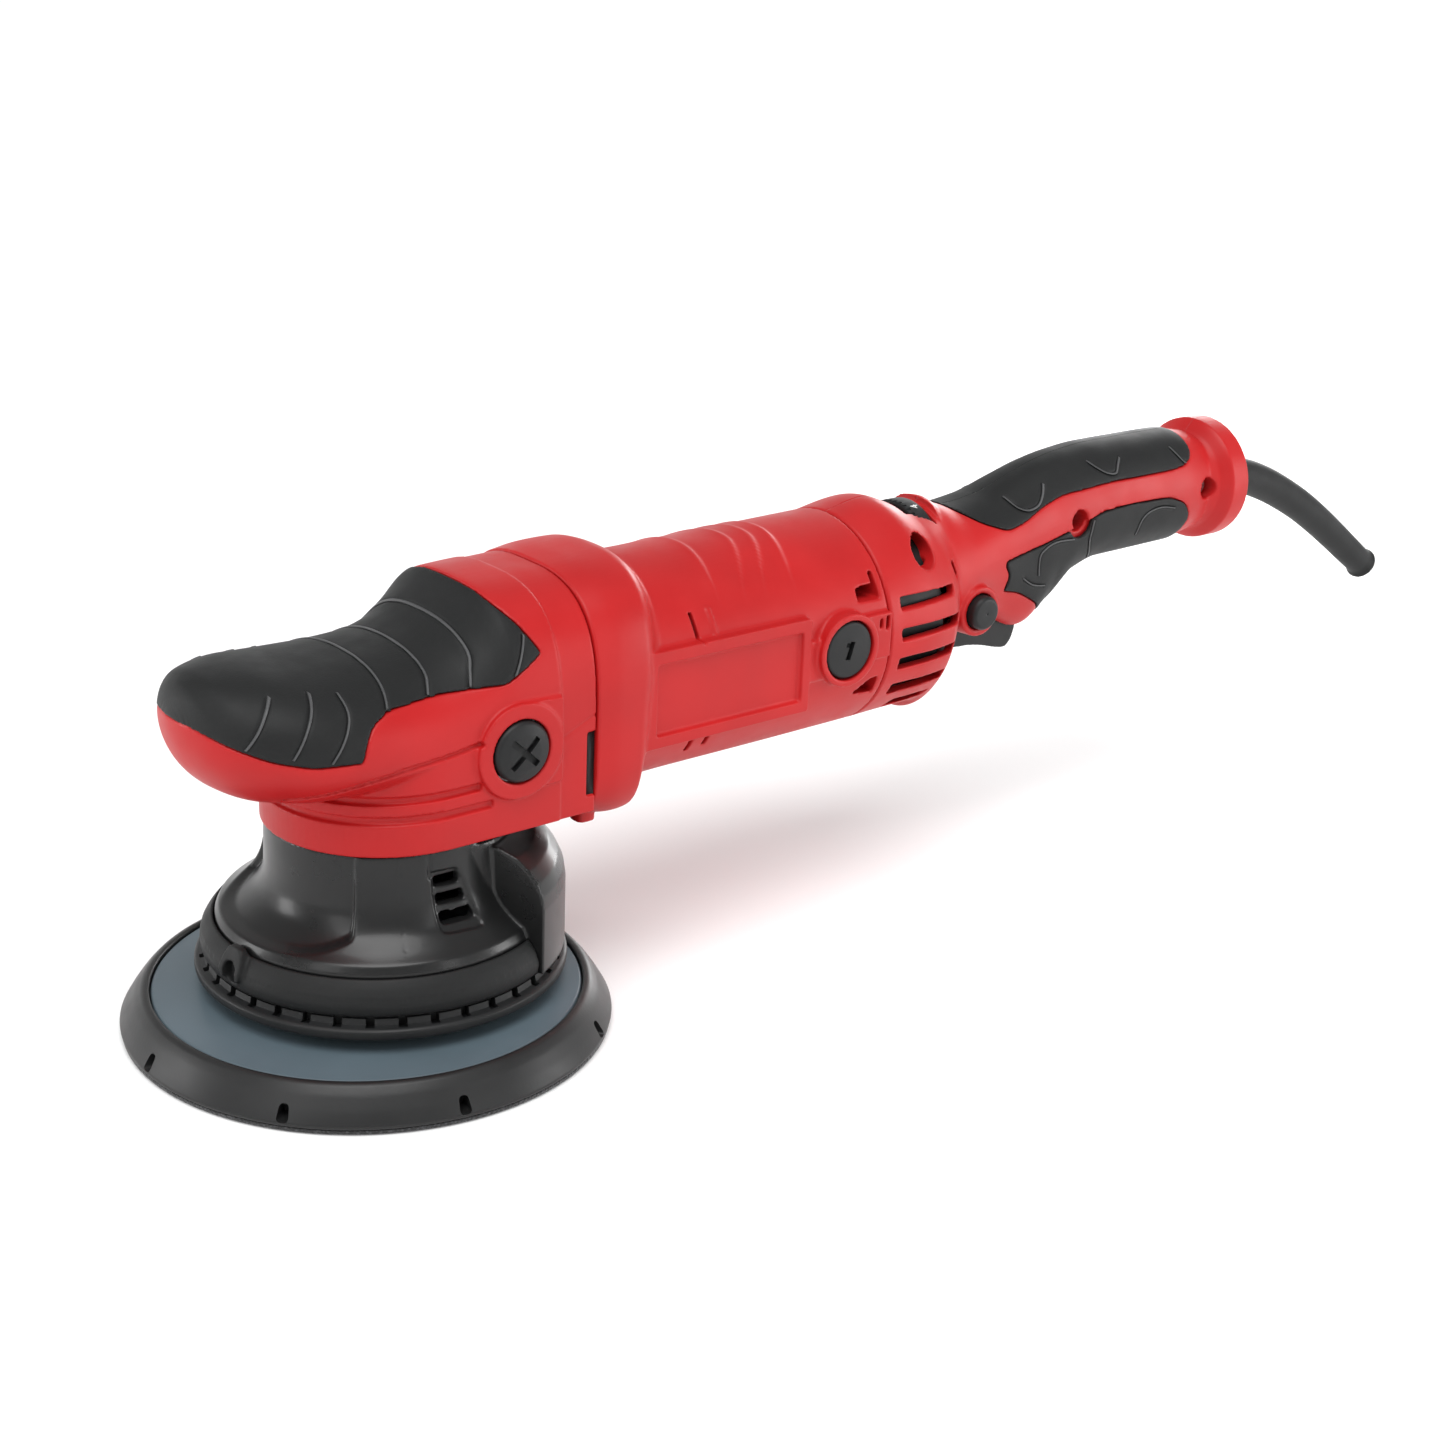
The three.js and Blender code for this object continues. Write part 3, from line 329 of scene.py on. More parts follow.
# ------------------------------ procedural materials
class Nodes:
    """A material's node tree, with short calls for the few nodes used here."""

    def __init__(self, name):
        self.material = bpy.data.materials.new(name)
        self.material.use_nodes = True
        self.tree = self.material.node_tree
        self.shader = self.tree.nodes["Principled BSDF"]
        self.place = self.tree.nodes.new("ShaderNodeTexCoord").outputs["Object"]

    def fill(self, node, inputs):
        """Sets inputs by name, each to a number, a colour or another node's output."""
        for name, value in inputs.items():
            if isinstance(value, bpy.types.NodeSocket):
                self.tree.links.new(value, node.inputs[name])
            else:
                node.inputs[name].default_value = value

    def add(self, kind, inputs):
        node = self.tree.nodes.new("ShaderNode" + kind)
        self.fill(node, inputs)
        return node

    def surface(self, inputs):
        self.fill(self.shader, inputs)
        return self.material

    def stretched(self, scale):
        return self.add("Mapping", {"Vector": self.place, "Scale": scale}).outputs["Vector"]

    def noise(self, scale, detail=3.0, vector=None):
        inputs = {"Vector": vector or self.place, "Scale": scale, "Detail": detail}
        return self.add("TexNoise", inputs).outputs["Fac"]

    def cells(self, scale):
        return self.add("TexVoronoi", {"Vector": self.place, "Scale": scale}).outputs["Distance"]

    def spread(self, value, low, high, start=0.3, end=0.7):
        """Turns values from start to end into values from low to high."""
        inputs = {"Value": value, "From Min": start, "From Max": end, "To Min": low, "To Max": high}
        return self.add("MapRange", inputs).outputs["Result"]

    def colours(self, value, dark, light, start=0.3, end=0.7):
        """Turns values from start to end into colours from dark to light."""
        ramp = self.add("ValToRGB", {"Fac": value})
        for stop, at, colour in zip(ramp.color_ramp.elements, (start, end), (dark, light)):
            stop.position = at
            stop.color = (*colour, 1)
        return ramp.outputs["Color"]

    def bump(self, height, strength, distance, under=None):
        node = self.add("Bump", {"Height": height, "Strength": strength, "Distance": distance * MM})
        if under:
            self.fill(node, {"Normal": under})
        return node.outputs["Normal"]


def tint(colour, factor):
    return tuple(min(1.0, channel * factor) for channel in colour)


def moulded(name, colour, rough, grain=0.25, grain_scale=2600.0, coat=0.0, index=1.36):
    """Injection-moulded plastic: spark-eroded grain, a faint mottle and uneven gloss."""
    n = Nodes(name)
    mottle = n.colours(n.noise(38.0, 4.0), tint(colour, 0.93), tint(colour, 1.05))
    gloss = n.spread(n.noise(75.0, 5.0), rough * 0.88, rough * 1.14)
    eroded = n.bump(n.noise(grain_scale, 2.0), grain, 0.05)
    if coat:
        n.surface({"Coat Weight": coat, "Coat Roughness": 0.08})
    return n.surface({"Base Color": mottle, "Roughness": gloss, "Normal": eroded, "IOR": index})


def rubber(name, colour, rough, pores=0.35, scale=1500.0, index=1.32):
    """Soft overmoulded rubber: matte, finely pored, with a dusty bloom in patches."""
    n = Nodes(name)
    bloom = n.colours(n.noise(30.0, 6.0), tint(colour, 0.88), tint(colour, 1.18))
    gloss = n.spread(n.noise(120.0, 4.0), rough * 0.92, rough * 1.08)
    pore = n.bump(n.cells(scale), pores, 0.06)
    pored = n.bump(n.noise(420.0, 4.0), pores * 0.5, 0.08, under=pore)
    return n.surface({"Base Color": bloom, "Roughness": gloss, "Normal": pored, "IOR": index})


def metal(name, colour, rough, along=(1.0, 1.0, 1.0), scale=900.0, strength=0.15):
    """Turned, ground or cast metal: tool marks stretched along one direction."""
    n = Nodes(name)
    marks = n.noise(scale, 5.0, n.stretched(along))
    shade = n.colours(n.noise(60.0, 4.0), tint(colour, 0.85), tint(colour, 1.08))
    gloss = n.spread(marks, rough * 0.75, rough * 1.3)
    worked = n.bump(marks, strength, 0.03)
    return n.surface({"Base Color": shade, "Roughness": gloss, "Normal": worked, "Metallic": 1.0})


def fabric_hooks(name, colour):
    """A field of tiny hooks on a woven base."""
    n = Nodes(name)
    hooks = n.cells(1100.0)
    weave = n.colours(hooks, tint(colour, 2.2), tint(colour, 0.5), 0.1, 0.6)
    raised = n.bump(hooks, 0.8, 0.4)
    return n.surface({"Base Color": weave, "Normal": raised, "Roughness": 0.85, "Sheen Weight": 0.3})


LOOKS = {
    "red_shell": moulded("red_shell", (0.46, 0.01, 0.011), 0.42, 0.22),
    "grip_rubber": rubber("grip_rubber", (0.0105, 0.011, 0.0112), 0.55),
    "black_plastic": moulded("black_plastic", (0.012, 0.0125, 0.013), 0.46, 0.3, 2000.0),
    "shroud_black": moulded("shroud_black", (0.009, 0.0092, 0.0094), 0.3, 0.02, 900.0, coat=0.1, index=1.4),
    "plate_blue_grey": moulded("plate_blue_grey", (0.095, 0.13, 0.152), 0.34, 0.12, 1400.0),
    "pad_foam": rubber("pad_foam", (0.012, 0.0123, 0.0126), 0.4, 0.2, 900.0, index=1.42),
    "hook_fabric": fabric_hooks("hook_fabric", (0.03, 0.03, 0.032)),
    "steel": metal("steel", (0.62, 0.63, 0.64), 0.3, (1.0, 1.0, 0.06)),
    "dark_steel": metal("dark_steel", (0.25, 0.25, 0.26), 0.42, (14.0, 1.0, 1.0), 260.0),
    "die_cast": metal("die_cast", (0.66, 0.67, 0.68), 0.48, scale=500.0, strength=0.5),
    "copper": metal("copper", (0.62, 0.27, 0.11), 0.34, (20.0, 1.0, 1.0), 160.0, 0.6),
    "brass": metal("brass", (0.72, 0.52, 0.2), 0.32),
    "carbon": rubber("carbon", (0.025, 0.025, 0.026), 0.7, 0.5, 2200.0),
    "circuit_board": moulded("circuit_board", (0.02, 0.17, 0.06), 0.3, 0.4, 500.0),
}
# A lighter grey rubber for the raised lines over the grips: painted highlight.
PAINTED_HIGHLIGHT = rubber("piping", (0.075, 0.076, 0.078), 0.42, 0.15)
FIGURE_WHITE = moulded("figure_white", (0.82, 0.82, 0.8), 0.5, 0.1)


def finish(thing, name, body, look, *nodes):
    """Names a finished piece, paints it, hangs it on its body's empty and hides the CAD parts it stands
    for.
    """
    thing.name = name
    thing.data.name = name
    thing.data.materials.clear()
    thing.data.materials.append(LOOKS[look])
    for face in thing.data.polygons:
        face.use_smooth = True
    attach(thing, body)
    if nodes:
        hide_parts(*nodes)


def sharpen(thing, angle=35.0):
    """Keeps crisp edges crisp on a piece whose faces are shaded smoothly."""
    with editing(thing.data) as shape:
        for edge in shape.edges:
            if len(edge.link_faces) == 2 and edge.calc_face_angle(0) > math.radians(angle):
                edge.smooth = False
    return thing


# ------------------------------ body sections
def station(x, half, top, bottom, middle, power, low_power=None, lean=0.0):
    """One cross-section: its half width, its top, bottom and widest heights, how square it is
    above and below the widest height, and how far it leans to the tail with height."""
    return (x, half, top, bottom, middle, power, low_power or power, lean)


HEAD_STATIONS = [
    (NOSE_TIP, 0.4, 107.6, 106.8, 107.2, 2),
    (-66.4, 9.6, 115.2, 99, 106.4, 2),
    (-63.8, 16.6, 118.6, 92.8, 105, 2),
    (-58.5, 24, 120.6, 87.2, 103.6, 2.1),
    (-48, 31.4, 121, 82.2, 101.4, 2.2),
    (-34, 36.2, 119.6, 80.4, 99.2, 2.3),
    (-16, HEAD_HALF, 119, 80.6, 97, 2.3),
    (0, HEAD_HALF, 120, 80.6, 95, 2.3),
    (10, HEAD_HALF, 122.8, 80.6, 95, 2.35),
    (18, HEAD_HALF, 129.4, 80.6, 95, 2.5),
    (26, HEAD_HALF, 135.8, 80.6, 95, 2.8),
    (HEAD_REAR, HEAD_HALF, 136.4, 80.6, 95, 2.9),
]
HOUSING_STATIONS = [
    (HEAD_REAR + GAP, 37.8, 136.4, 60, 95, 2.9, 5),
    (62, 39, 137.4, 58.4, 95, 2.9, 5),
    (69.6, 38.9, 138, 57.8, 95, 2.75, 4.4, 0.12),
    (71.6, 38.3, 137.2, 58.2, 95.6, 2.5, 3.4, 0.16),
    (73.6, 37.3, 134.8, 59, 96.2, 2.2, 2.6, 0.2),
    (76.4, 36.8, 132.6, 59.6, MOTOR_AXIS, 2.02, 2.05, 0.24),
    (96, 36.6, 132.6, 59.9, MOTOR_AXIS, 2),
    (130, BARREL_RADIUS, 133, 60, MOTOR_AXIS, 2),
    (BARREL_REAR, 36.6, 133.6, 60.4, MOTOR_AXIS, 2),
]
HANDLE_STATIONS = [
    (BARREL_REAR + GAP, 36.6, 133.6, 60.4, MOTOR_AXIS, 2),
    (191, 36.4, 136.2, 60.8, MOTOR_AXIS, 2),
    (206, 34.2, 131.6, 60.4, 97, 2),
    (211.5, 30.4, 131.2, 56.4, 98, 2, 1.8),
    (214, 27.8, 131, 61, 99, 2, 1.8),
    (216, 25.6, 130.8, 68, 101, 2, 1.8),
    (218, 24.8, 130.4, 76.4, 102.6, 2),
    (221.4, 24.2, 130, 80.4, 104, 2),
    (230, 22.4, 127.8, 84.4, 107, 2.1),
    (244, 20, 129.2, 84.6, 110, 2.2, 2.6),
    (262, 18.8, 134.4, 78.6, 113, 2.2, 3),
    (274, 18.7, 137.8, 83.6, 114, 2.2),
    (286, 18.6, 139.8, 94.4, 116, 2.2),
    (302, 18.6, 141, 98.4, 118, 2.2),
    (340, 18.7, 140.9, 98.4, HANDLE_AXIS, 2.1),
    (355, 17.5, 138.6, 100.2, HANDLE_AXIS, 2),
]


def curve(knots, values, at):
    """A smooth curve through the knots that never overshoots them."""
    x, y = np.array(knots, float), np.array(values, float)
    span = np.diff(x)
    slope = np.diff(y) / span
    tangent = np.concatenate([[slope[0]], np.zeros(len(x) - 2), [slope[-1]]])
    product = slope[:-1] * slope[1:]
    together = np.where(product > 0, slope[:-1] + slope[1:], 1.0)
    tangent[1:-1] = np.where(product > 0, 2 * product / together, 0.0)
    i = np.clip(np.searchsorted(x, at, side="right") - 1, 0, len(x) - 2)
    t = (at - x[i]) / span[i]
    return (
        y[i] * (1 + 2 * t) * (1 - t) ** 2
        + tangent[i] * span[i] * t * (1 - t) ** 2
        + y[i + 1] * t**2 * (3 - 2 * t)
        + tangent[i + 1] * span[i] * t**2 * (t - 1)
    )


def skin(name, stations, grow=0.0, front=0.0, rear=0.0, step=1.0, nose=False, relief=None):
    """The body that runs through the stations, grown by an even layer."""
    table = np.array([station(*row) for row in stations], float)
    start, end = table[0, 0], table[-1, 0]
    if nose:
        reach = math.sqrt(end - NOSE_TIP)
        xs = NOSE_TIP + np.linspace(0, reach, int((end - start) / step)) ** 2
        knots, at = np.sqrt(table[:, 0] - NOSE_TIP), np.sqrt(xs - NOSE_TIP)
        keep = xs >= start + front
        xs, at = xs[keep], at[keep]
    else:
        xs = np.linspace(start, end, int((end - start) / step) + 1)
        knots, at = table[:, 0], xs
    half, top, bottom, middle, power, low_power, lean = (curve(knots, table[:, k], at) for k in range(1, 8))
    shown = np.array(xs)
    shown[0] += 0 if nose else front
    shown[-1] += rear
    turn = 2 * math.pi * (np.arange(SECTION_POINTS) + 0.5) / SECTION_POINTS
    c, s = np.cos(turn), np.sin(turn)
    rings = []
    for i, x in enumerate(shown):
        n = np.where(s > 0, power[i], low_power[i])
        height = np.where(s > 0, top[i] - middle[i], middle[i] - bottom[i]) + grow
        y = (half[i] + grow) * np.sign(c) * np.abs(c) ** (2 / n)
        z = middle[i] + height * np.sign(s) * np.abs(s) ** (2 / n)
        if relief is not None:
            push = relief(x, np.degrees(turn))
            y, z = y + push * c, z + push * s
        rings.append(np.stack([x + lean[i] * np.maximum(0, z - middle[i]), y, z], axis=1))
    return loft(name, rings)


# ------------------------------ the pad
def hook_layer():
    profile = rounded([(0.01, 0), (74.8, 0), (74.8, 1.2), (0.01, 1.2)], 0.3, 3)
    layer = turned("hook", "z", profile, PAD_CENTRE, 192)
    finish(sharpen(layer), "hook_layer", "pad", "hook_fabric", "hook_face")


def rim_of_foam():
    profile = [
        (0.01, 1.5), (75.1, 1.5), (75.3, 2.6), (73.2, 6.2), (70.6, 10), (68.6, 12.2),
        (67.4, 12.7), (66.1, 12.5), (66, 9.3), (0.01, 9.3),
    ]
    rim = turned("rim", "z", rounded(profile, 0.8, 4), PAD_CENTRE, 256)
    notch_azimuths = (180, 220, 260.5, 308.5, 0, 40, 80, 128.5)
    for azimuth in notch_azimuths:
        outline = rounded([(-1.9, 2.6), (1.9, 2.6), (1.4, 7.4), (-1.4, 7.4)], 1.4, 5)
        notch = spun(prism("x", outline, 68.5, 80), azimuth)
        cut(rim, moved(notch, *PAD_CENTRE, 0))
    finish(sharpen(rim), "pad_foam_rim", "pad", "pad_foam", "pad_rim")


def backing_disc():
    profile = [(0.01, 9.6), (65.7, 9.6), (65.7, 11.4), (65.1, 12), (30, 12), (22, 12.3), (0.01, 12.3)]
    disc = turned("disc", "z", rounded(profile, 0.4, 4), PAD_CENTRE, 192)
    bolt_count = 4
    for i in range(bolt_count):
        turn = math.radians(45 + 360 * i / bolt_count)
        at = (PAD_CENTRE[0] + 32 * math.cos(turn), PAD_CENTRE[1] + 32 * math.sin(turn))
        cut(disc, rod("z", 2.4, 10.6, 13, at, 24))
    finish(sharpen(disc), "backing_disc", "pad", "plate_blue_grey", "backing_plate")


# ------------------------------ the shroud
BELL_INSIDE = [(32.2, 62.2), (33.4, 52), (35.6, 44), (46, 35.6)]
FLARE = [(49.4, 36.8), (45.8, 39.2), (41.6, 43), (38.8, 48), (37.2, 54.8), (36.2, 61), (35.8, 65)]


def smoothstep(value, start, end):
    t = np.clip((value - start) / (end - start), 0, 1)
    return t * t * (3 - 2 * t)


def facet_relief(turn, radius, height):
    """The flat glossy panel let into the flare at the front."""
    away = abs(math.degrees(turn) - 180)
    inside = 1 - smoothstep(away, 46.2, 47.2)
    ledge = 37.2 + 4.8 * (away / 47) ** 4
    depth = 3.2 * smoothstep(height, ledge - 0.5, ledge + 0.6) * (1 - 0.75 * smoothstep(height, 43, 64))
    return -inside * depth if radius > 33 else 0.0


def inside_flare(by):
    """A solid a little smaller than the bell's outside, which stops a cut at that depth."""
    surface = [(r - by, z) for r, z in smooth_path(FLARE, 6)]
    return turned("core", "z", [(0.01, 20), (50, 20), *surface, (34, 70), (0.01, 70)], segments=192)


def rear_guard(grow, bottom=22.9):
    """The tall shield round the back of the shroud."""
    r = GUARD_RADIUS + grow
    profile = [(0.01, bottom), (r, bottom), (r, 44), (r - 0.6, 48), (r - 2.4, 51.8), (r - 5.4, 55.6 + grow)]
    profile += [(r - 9.6, 59 + grow), (40, 61.2 + grow), (0.01, 61.4 + grow)]
    tip = -grow / math.sin(GUARD_HALF_ANGLE)
    far = (tip + 80 * math.cos(GUARD_HALF_ANGLE), 80 * math.sin(GUARD_HALF_ANGLE))
    wedge = prism("z", [(tip, 0), (far[0], -far[1]), (90, 0), far], 10, 80)
    return common(turned("guard", "z", profile, segments=256), wedge)


def rear_bulge():
    """The swelling that carries the flare into the guard."""
    rings = []
    turn = np.linspace(0, 2 * math.pi, 128, endpoint=False)
    c, s = np.cos(turn), np.sin(turn)
    levels = [(34.6, 45, 35.5), (43, 45, 35.5), (47, 43, 35.4), (50.6, 40, 35.2)]
    levels += [(56, 34, 35), (60, 29, 34.8), (63, 26, 34.5)]
    for z, length, width in levels:
        x = 8 + length * np.sign(c) * np.abs(c) ** (2 / 2.6)
        y = width * np.sign(s) * np.abs(s) ** (2 / 2.6)
        rings.append([(a, b, z) for a, b in zip(x, y)])
    return common(loft("bulge", rings), box((0, -FAR, 30), (60, FAR, 70)))


def shroud_bell():
    flare = smooth_path(FLARE, 8)
    profile = [(47.6, 22.9), (50.6, 22.9), (50.6, 34.4), *flare, (19, 65), (19, 62.2)]
    profile += [*BELL_INSIDE, (47.6, 33)]
    bell = turned("bell", "z", profile, segments=360, relief=facet_relief)
    cavity = turned("cavity", "z", [(0.01, 62.1), *BELL_INSIDE, (47.6, 33), (47.6, 20), (0.01, 20)])
    union(bell, rear_bulge(), rear_guard(0))
    cut(bell, cavity, rear_guard(-WALL, 15))

    def radial(outline, azimuth):
        """A prism that points out of the bell; its outline is (sideways, height)."""
        return spun(prism("x", outline, 28, 66), azimuth)

    for side in (1, -1):
        tray = [(-7.4, 41.6), (7.6, 40.6), (4.6, 53), (2.2, 58.8), (-7.0, 59.4)]
        tray = radial(rounded([(a * side, z) for a, z in tray], 1.8), LOUVRE_AZIMUTH * side)
        cut(bell, cut(tray, inside_flare(0.9)))
        for height, reach in ((55.8, 3.0), (50.4, 4.4), (45.0, 6.0)):
            opening = [(-5.8, -1.7), (reach, -2.1), (reach - 0.9, 1.3), (-5.8, 1.6)]
            opening = rounded([(a * side, height + b) for a, b in opening], 0.5, 3)
            cut(bell, radial(opening, LOUVRE_AZIMUTH * side))
        light_line = radial([(-0.3, 38.5), (0.3, 38.5), (0.3, 64.9), (-0.3, 64.9)], -112.6 * side)
        cut(bell, cut(light_line, inside_flare(0.7)))
        dark_line = radial([(-0.55, 57), (0.55, 57), (0.55, 64.9), (-0.55, 64.9)], -98.6 * side)
        cut(bell, cut(dark_line, inside_flare(1.2)))
    soften(bell)
    finish(bell, "shroud_bell_gloss", "housing", "shroud_black", "shroud_bell")


def bumper():
    profile = [(51, 22.5), (53.8, 22.5), (55, 23.6), (55.4, 26.4), (54.9, 29)]
    profile += [(53.4, 31.6), (51.8, 33.6), (51, 34)]
    band = turned("band", "z", rounded(profile, 0.8, 4), segments=256)
    cut(band, turned("step", "z", [(56.6, 27.7), (54.4, 28.1), (54.4, 28.7), (56.6, 28.7)], segments=192))
    arch = [(-5, 26), (5, 26), (5, 31.5), (3, 36), (-3, 36), (-5, 31.5)]
    clip = prism("x", rounded(arch, 3.4, 8), 51.3, 56.6)
    hole = prism("x", rounded([(-2.8, 25), (2.8, 25), (2.8, 31.6), (-2.8, 31.6)], 2.6, 8), 52.4, 60)
    lug = turned("lug", "z", [(51.3, 20), (56.6, 20), (56.6, 29), (53.4, 36.6), (51.3, 36.6)], segments=96)
    union(band, common(spun(clip, CLIP_AZIMUTH), lug))
    cut(band, spun(hole, CLIP_AZIMUTH), rear_guard(GAP, 10))
    soften(band, 0.5)
    finish(band, "bumper_rubber", "housing", "grip_rubber", "bumper_band")


def skirt():
    profile = [(45, 16.5), (56.6, 16.5), (57.2, 17.2), (57.2, 19.4), (56.4, 20)]
    profile += [(54.3, 20.4), (54, 22.3), (45, 22.3)]
    ring = turned("skirt", "z", rounded(profile, 0.35, 3), segments=256)
    slot_count = 36
    for i in range(slot_count):
        slot = box((51.8, -1.3, 19), (55.6, 1.3, 23.4))
        cut(ring, spun(slot, 360 * (i + 0.5) / slot_count))
    finish(sharpen(ring), "skirt_slotted", "housing", "black_plastic", "skirt_ring")


# ------------------------------ the gear head
SADDLE = [
    (-80, 111.6), (-67, 108.6), (-60, 104.8), (-52, 101.4), (-42, 99), (-28.6, 98.6),
    (-27.6, 98.6), (-27.2, 99.6), (-25.4, 104.4), (-22.4, 108), (-16, 110.2), (0, 111.2),
    (22, 112), (33.6, 118.4), (34.6, 119.2), (34.1, 120.2), (30, 127), (25, 133), (23, 150),
    (-80, 150),
]


def inset(outline, by):
    """A closed outline drawn in by an even margin."""
    points = np.array(outline, float)
    into = points - np.roll(points, 1, axis=0)
    out = np.roll(points, -1, axis=0) - points
    into /= np.linalg.norm(into, axis=1)[:, None]
    out /= np.linalg.norm(out, axis=1)[:, None]
    x, z = points[:, 0], points[:, 1]
    area = np.sum(x * np.roll(z, -1) - np.roll(x, -1) * z)
    a = np.stack([-into[:, 1], into[:, 0]], axis=1)
    b = np.stack([-out[:, 1], out[:, 0]], axis=1)
    mitre = (a + b) * (np.sign(area) * by / (1 + np.sum(a * b, axis=1)))[:, None]
    return [tuple(p) for p in points + mitre]


def block_outline(grow, rear=0):
    radius = HEAD_HALF + grow
    turn = np.linspace(math.pi / 2, 3 * math.pi / 2, 48)
    back = HEAD_REAR + rear
    front = [(BLOCK_X + radius * math.cos(a), radius * math.sin(a)) for a in turn]
    return [(back, -radius), (back, radius), *front]


def gear_room(grow):
    body = turned("room", "z", [(0.01, 60), (33 + grow, 60), (33 + grow, 103), (17, 114), (0.01, 114)])
    union(body, rod("x", 33 + grow, 22, 60, (0, MOTOR_AXIS)))
    return union(body, rod("y", 10 + grow, -34.6 - grow, 34.6 + grow, PLUG))


def head_core(by):
    """The gear head and its block, drawn in a little."""
    core = skin("core", HEAD_STATIONS, -by, rear=2, nose=True)
    return union(core, prism("z", block_outline(-by, 2), 50, 93))


def head_cover():
    head = skin("head", HEAD_STATIONS, nose=True)
    union(head, prism("z", block_outline(0), HEAD_BOTTOM, 93))
    rear_band = cut(box((40, -FAR, 40), (60, FAR, 160)), head_core(0.5))
    cut(head, rear_band)
    union(head, rod("y", 15, -BOSS_FACE, BOSS_FACE, PLUG, 96))
    flag = [(24, 78.6), (40.2, 78.6), (40.2, 105.8), (29, 106.2), (18, 105.2)]
    union(head, prism("y", rounded(flag, 1.2), -38.5, 38.5))

    hollow = skin("hollow", HEAD_STATIONS, -WALL - 2, front=22, rear=4, nose=True)
    cut(head, hollow, prism("z", block_outline(-WALL), 60, 90), gear_room(GAP))
    cut(head, box((46, -35, 60), (60, 35, 90)))

    for low, high, end, depth in ((81.6, 84.2, 12, 1.5), (75.4, 78.0, 16, 1.4)):
        band = box((-50, -FAR, low), (end, FAR, high))
        cut(head, cut(band, prism("z", block_outline(-depth), low - 1, high + 1)))
    ledge = ribbon(smooth_path([(-46, 87), (-30, 90.6), (-14, 93.4), (2, 95), (12, 96.4)]), 1.5)
    cut(head, cut(through(ledge), head_core(1.1)))

    bed = skin("bed", HEAD_STATIONS, -BED_DEPTH, front=0.9, nose=True)
    cut(head, cut(through(rounded(SADDLE, 2.5)), bed))
    cut(head, rod("y", PLUG_RADIUS + FIT, -FAR, FAR, PLUG, 96))
    for side in (-1, 1):
        cut(head, side_box(side, (50, 35.9, 70.6), (HEAD_REAR + 1, FAR, 91.6)))
        cheek = ribbon([(40.4, 91.4), (50, 95.6), (HEAD_REAR + 1, 97.2)], 0.9)
        cut(head, side_prism(side, cheek, 36.4, 45))
    soften(head)
    finish(head, "head_cover_shell", "housing", "red_shell", "head_cover")
    # A thin black strip at the back of each side slot: painted shade, so that the slot looks deep and dark.
    for side, name in SIDES:
        strip = side_box(side, (50.1, 35.6, 70.8), (HEAD_REAR - 0.1, 36.2, 91.4))
        finish(strip, "slot_shade_strip_" + name, "housing", "black_plastic")


def piping(stations, outline, paths, name, nose=False):
    """Fine raised lines over a rubber grip, painted a lighter grey as a painted highlight along them."""
    lines = skin("lines", stations, PAINTED_HIGHLIGHT_HEIGHT, nose=nose)
    first, *others = [through(ribbon(smooth_path(path, 4), PAINTED_HIGHLIGHT_WIDTH)) for path in paths]
    common(lines, union(first, *others), through(inset(outline, 1.0)))
    cut(lines, skin("under", stations, 0.05, front=-4, rear=4, nose=nose))
    finish(lines, name, "housing", "grip_rubber")
    # the lighter grey on these lines is painted highlight
    lines.data.materials[0] = PAINTED_HIGHLIGHT


def saddle_grip():
    grip = skin("grip", HEAD_STATIONS, 0.25, nose=True)
    common(grip, through(rounded(inset(SADDLE, 0.3), 2.2)))
    cut(grip, skin("inner", HEAD_STATIONS, -GRIP_DEPTH, front=0.9, nose=True))
    lines = [
        [(10.6, 111.4), (12.8, 116.5), (14.5, 120.7), (14.8, 127.5)],
        [(-4.4, 108.8), (-1, 113.4), (1.2, 116.7), (2.4, 122.5)],
        [(-18.6, 107.6), (-14.8, 113.8), (-13.2, 117.3), (-12.2, 121)],
        [(-28, 116), (-28.5, 112.1), (-31.2, 107.7), (-36.9, 100.2)],
        [(-36, 117), (-38.5, 114.1), (-42.5, 109.2), (-47, 102.2)],
        [(-47.6, 117.6), (-51.2, 114.1), (-54.5, 109.8), (-58, 104.8)],
        [(30.6, 126.4), (29.2, 123), (26.5, 117.8), (22.8, 111.6)],
    ]
    for path in lines:
        crease = through(ribbon(smooth_path(path), CREASE_WIDTH))
        cut(grip, cut(crease, skin("under", HEAD_STATIONS, -0.15, nose=True)))
    soften(grip, 0.45)
    finish(grip, "saddle_grip", "housing", "grip_rubber", "nose_grip")
    piping(HEAD_STATIONS, SADDLE, lines, "saddle_painted_highlight_ridges", nose=True)


def head_plugs():
    for side, name in SIDES:
        profile = [(0.01, 35), (9.6, 35), (9.6, 39), (8.8, 40), (5.4, 40.9), (0.01, 41.2)]
        profile = [(r, t * side) for r, t in rounded(profile, 0.5, 4)]
        plug = turned("plug", "y", profile, PLUG, 96)
        for tilt in (43, -43):
            bar = spun(side_box(side, (-6.2, 39.4, -1.0), (6.2, 43, 1.0)), tilt, "Y")
            cut(plug, moved(bar, PLUG[0], 0, PLUG[1]))
        finish(sharpen(plug), "side_plug_" + name, "housing", "black_plastic", "head_plug_" + name)


# ------------------------------ the motor housing
def barrel_relief(x, degrees):
    """Shallow finger creases that sweep over the top of the barrel."""
    up = np.where(degrees <= 90, degrees, 180 - degrees)
    push = np.zeros_like(degrees)
    for low_x, high_x in ((106.6, 110.5), (117, 127.5), (125.5, 136), (137.4, 143)):
        crease_x = low_x + (high_x - low_x) * smoothstep(up, 38, 85)
        before = np.minimum(x - crease_x, 0)
        fall = 1 - smoothstep(x, crease_x - 0.4, crease_x + 1.4)
        push += 0.6 * smoothstep(up, 34, 56) * np.exp(before / 4) * fall
    return np.minimum(push, 0.8)


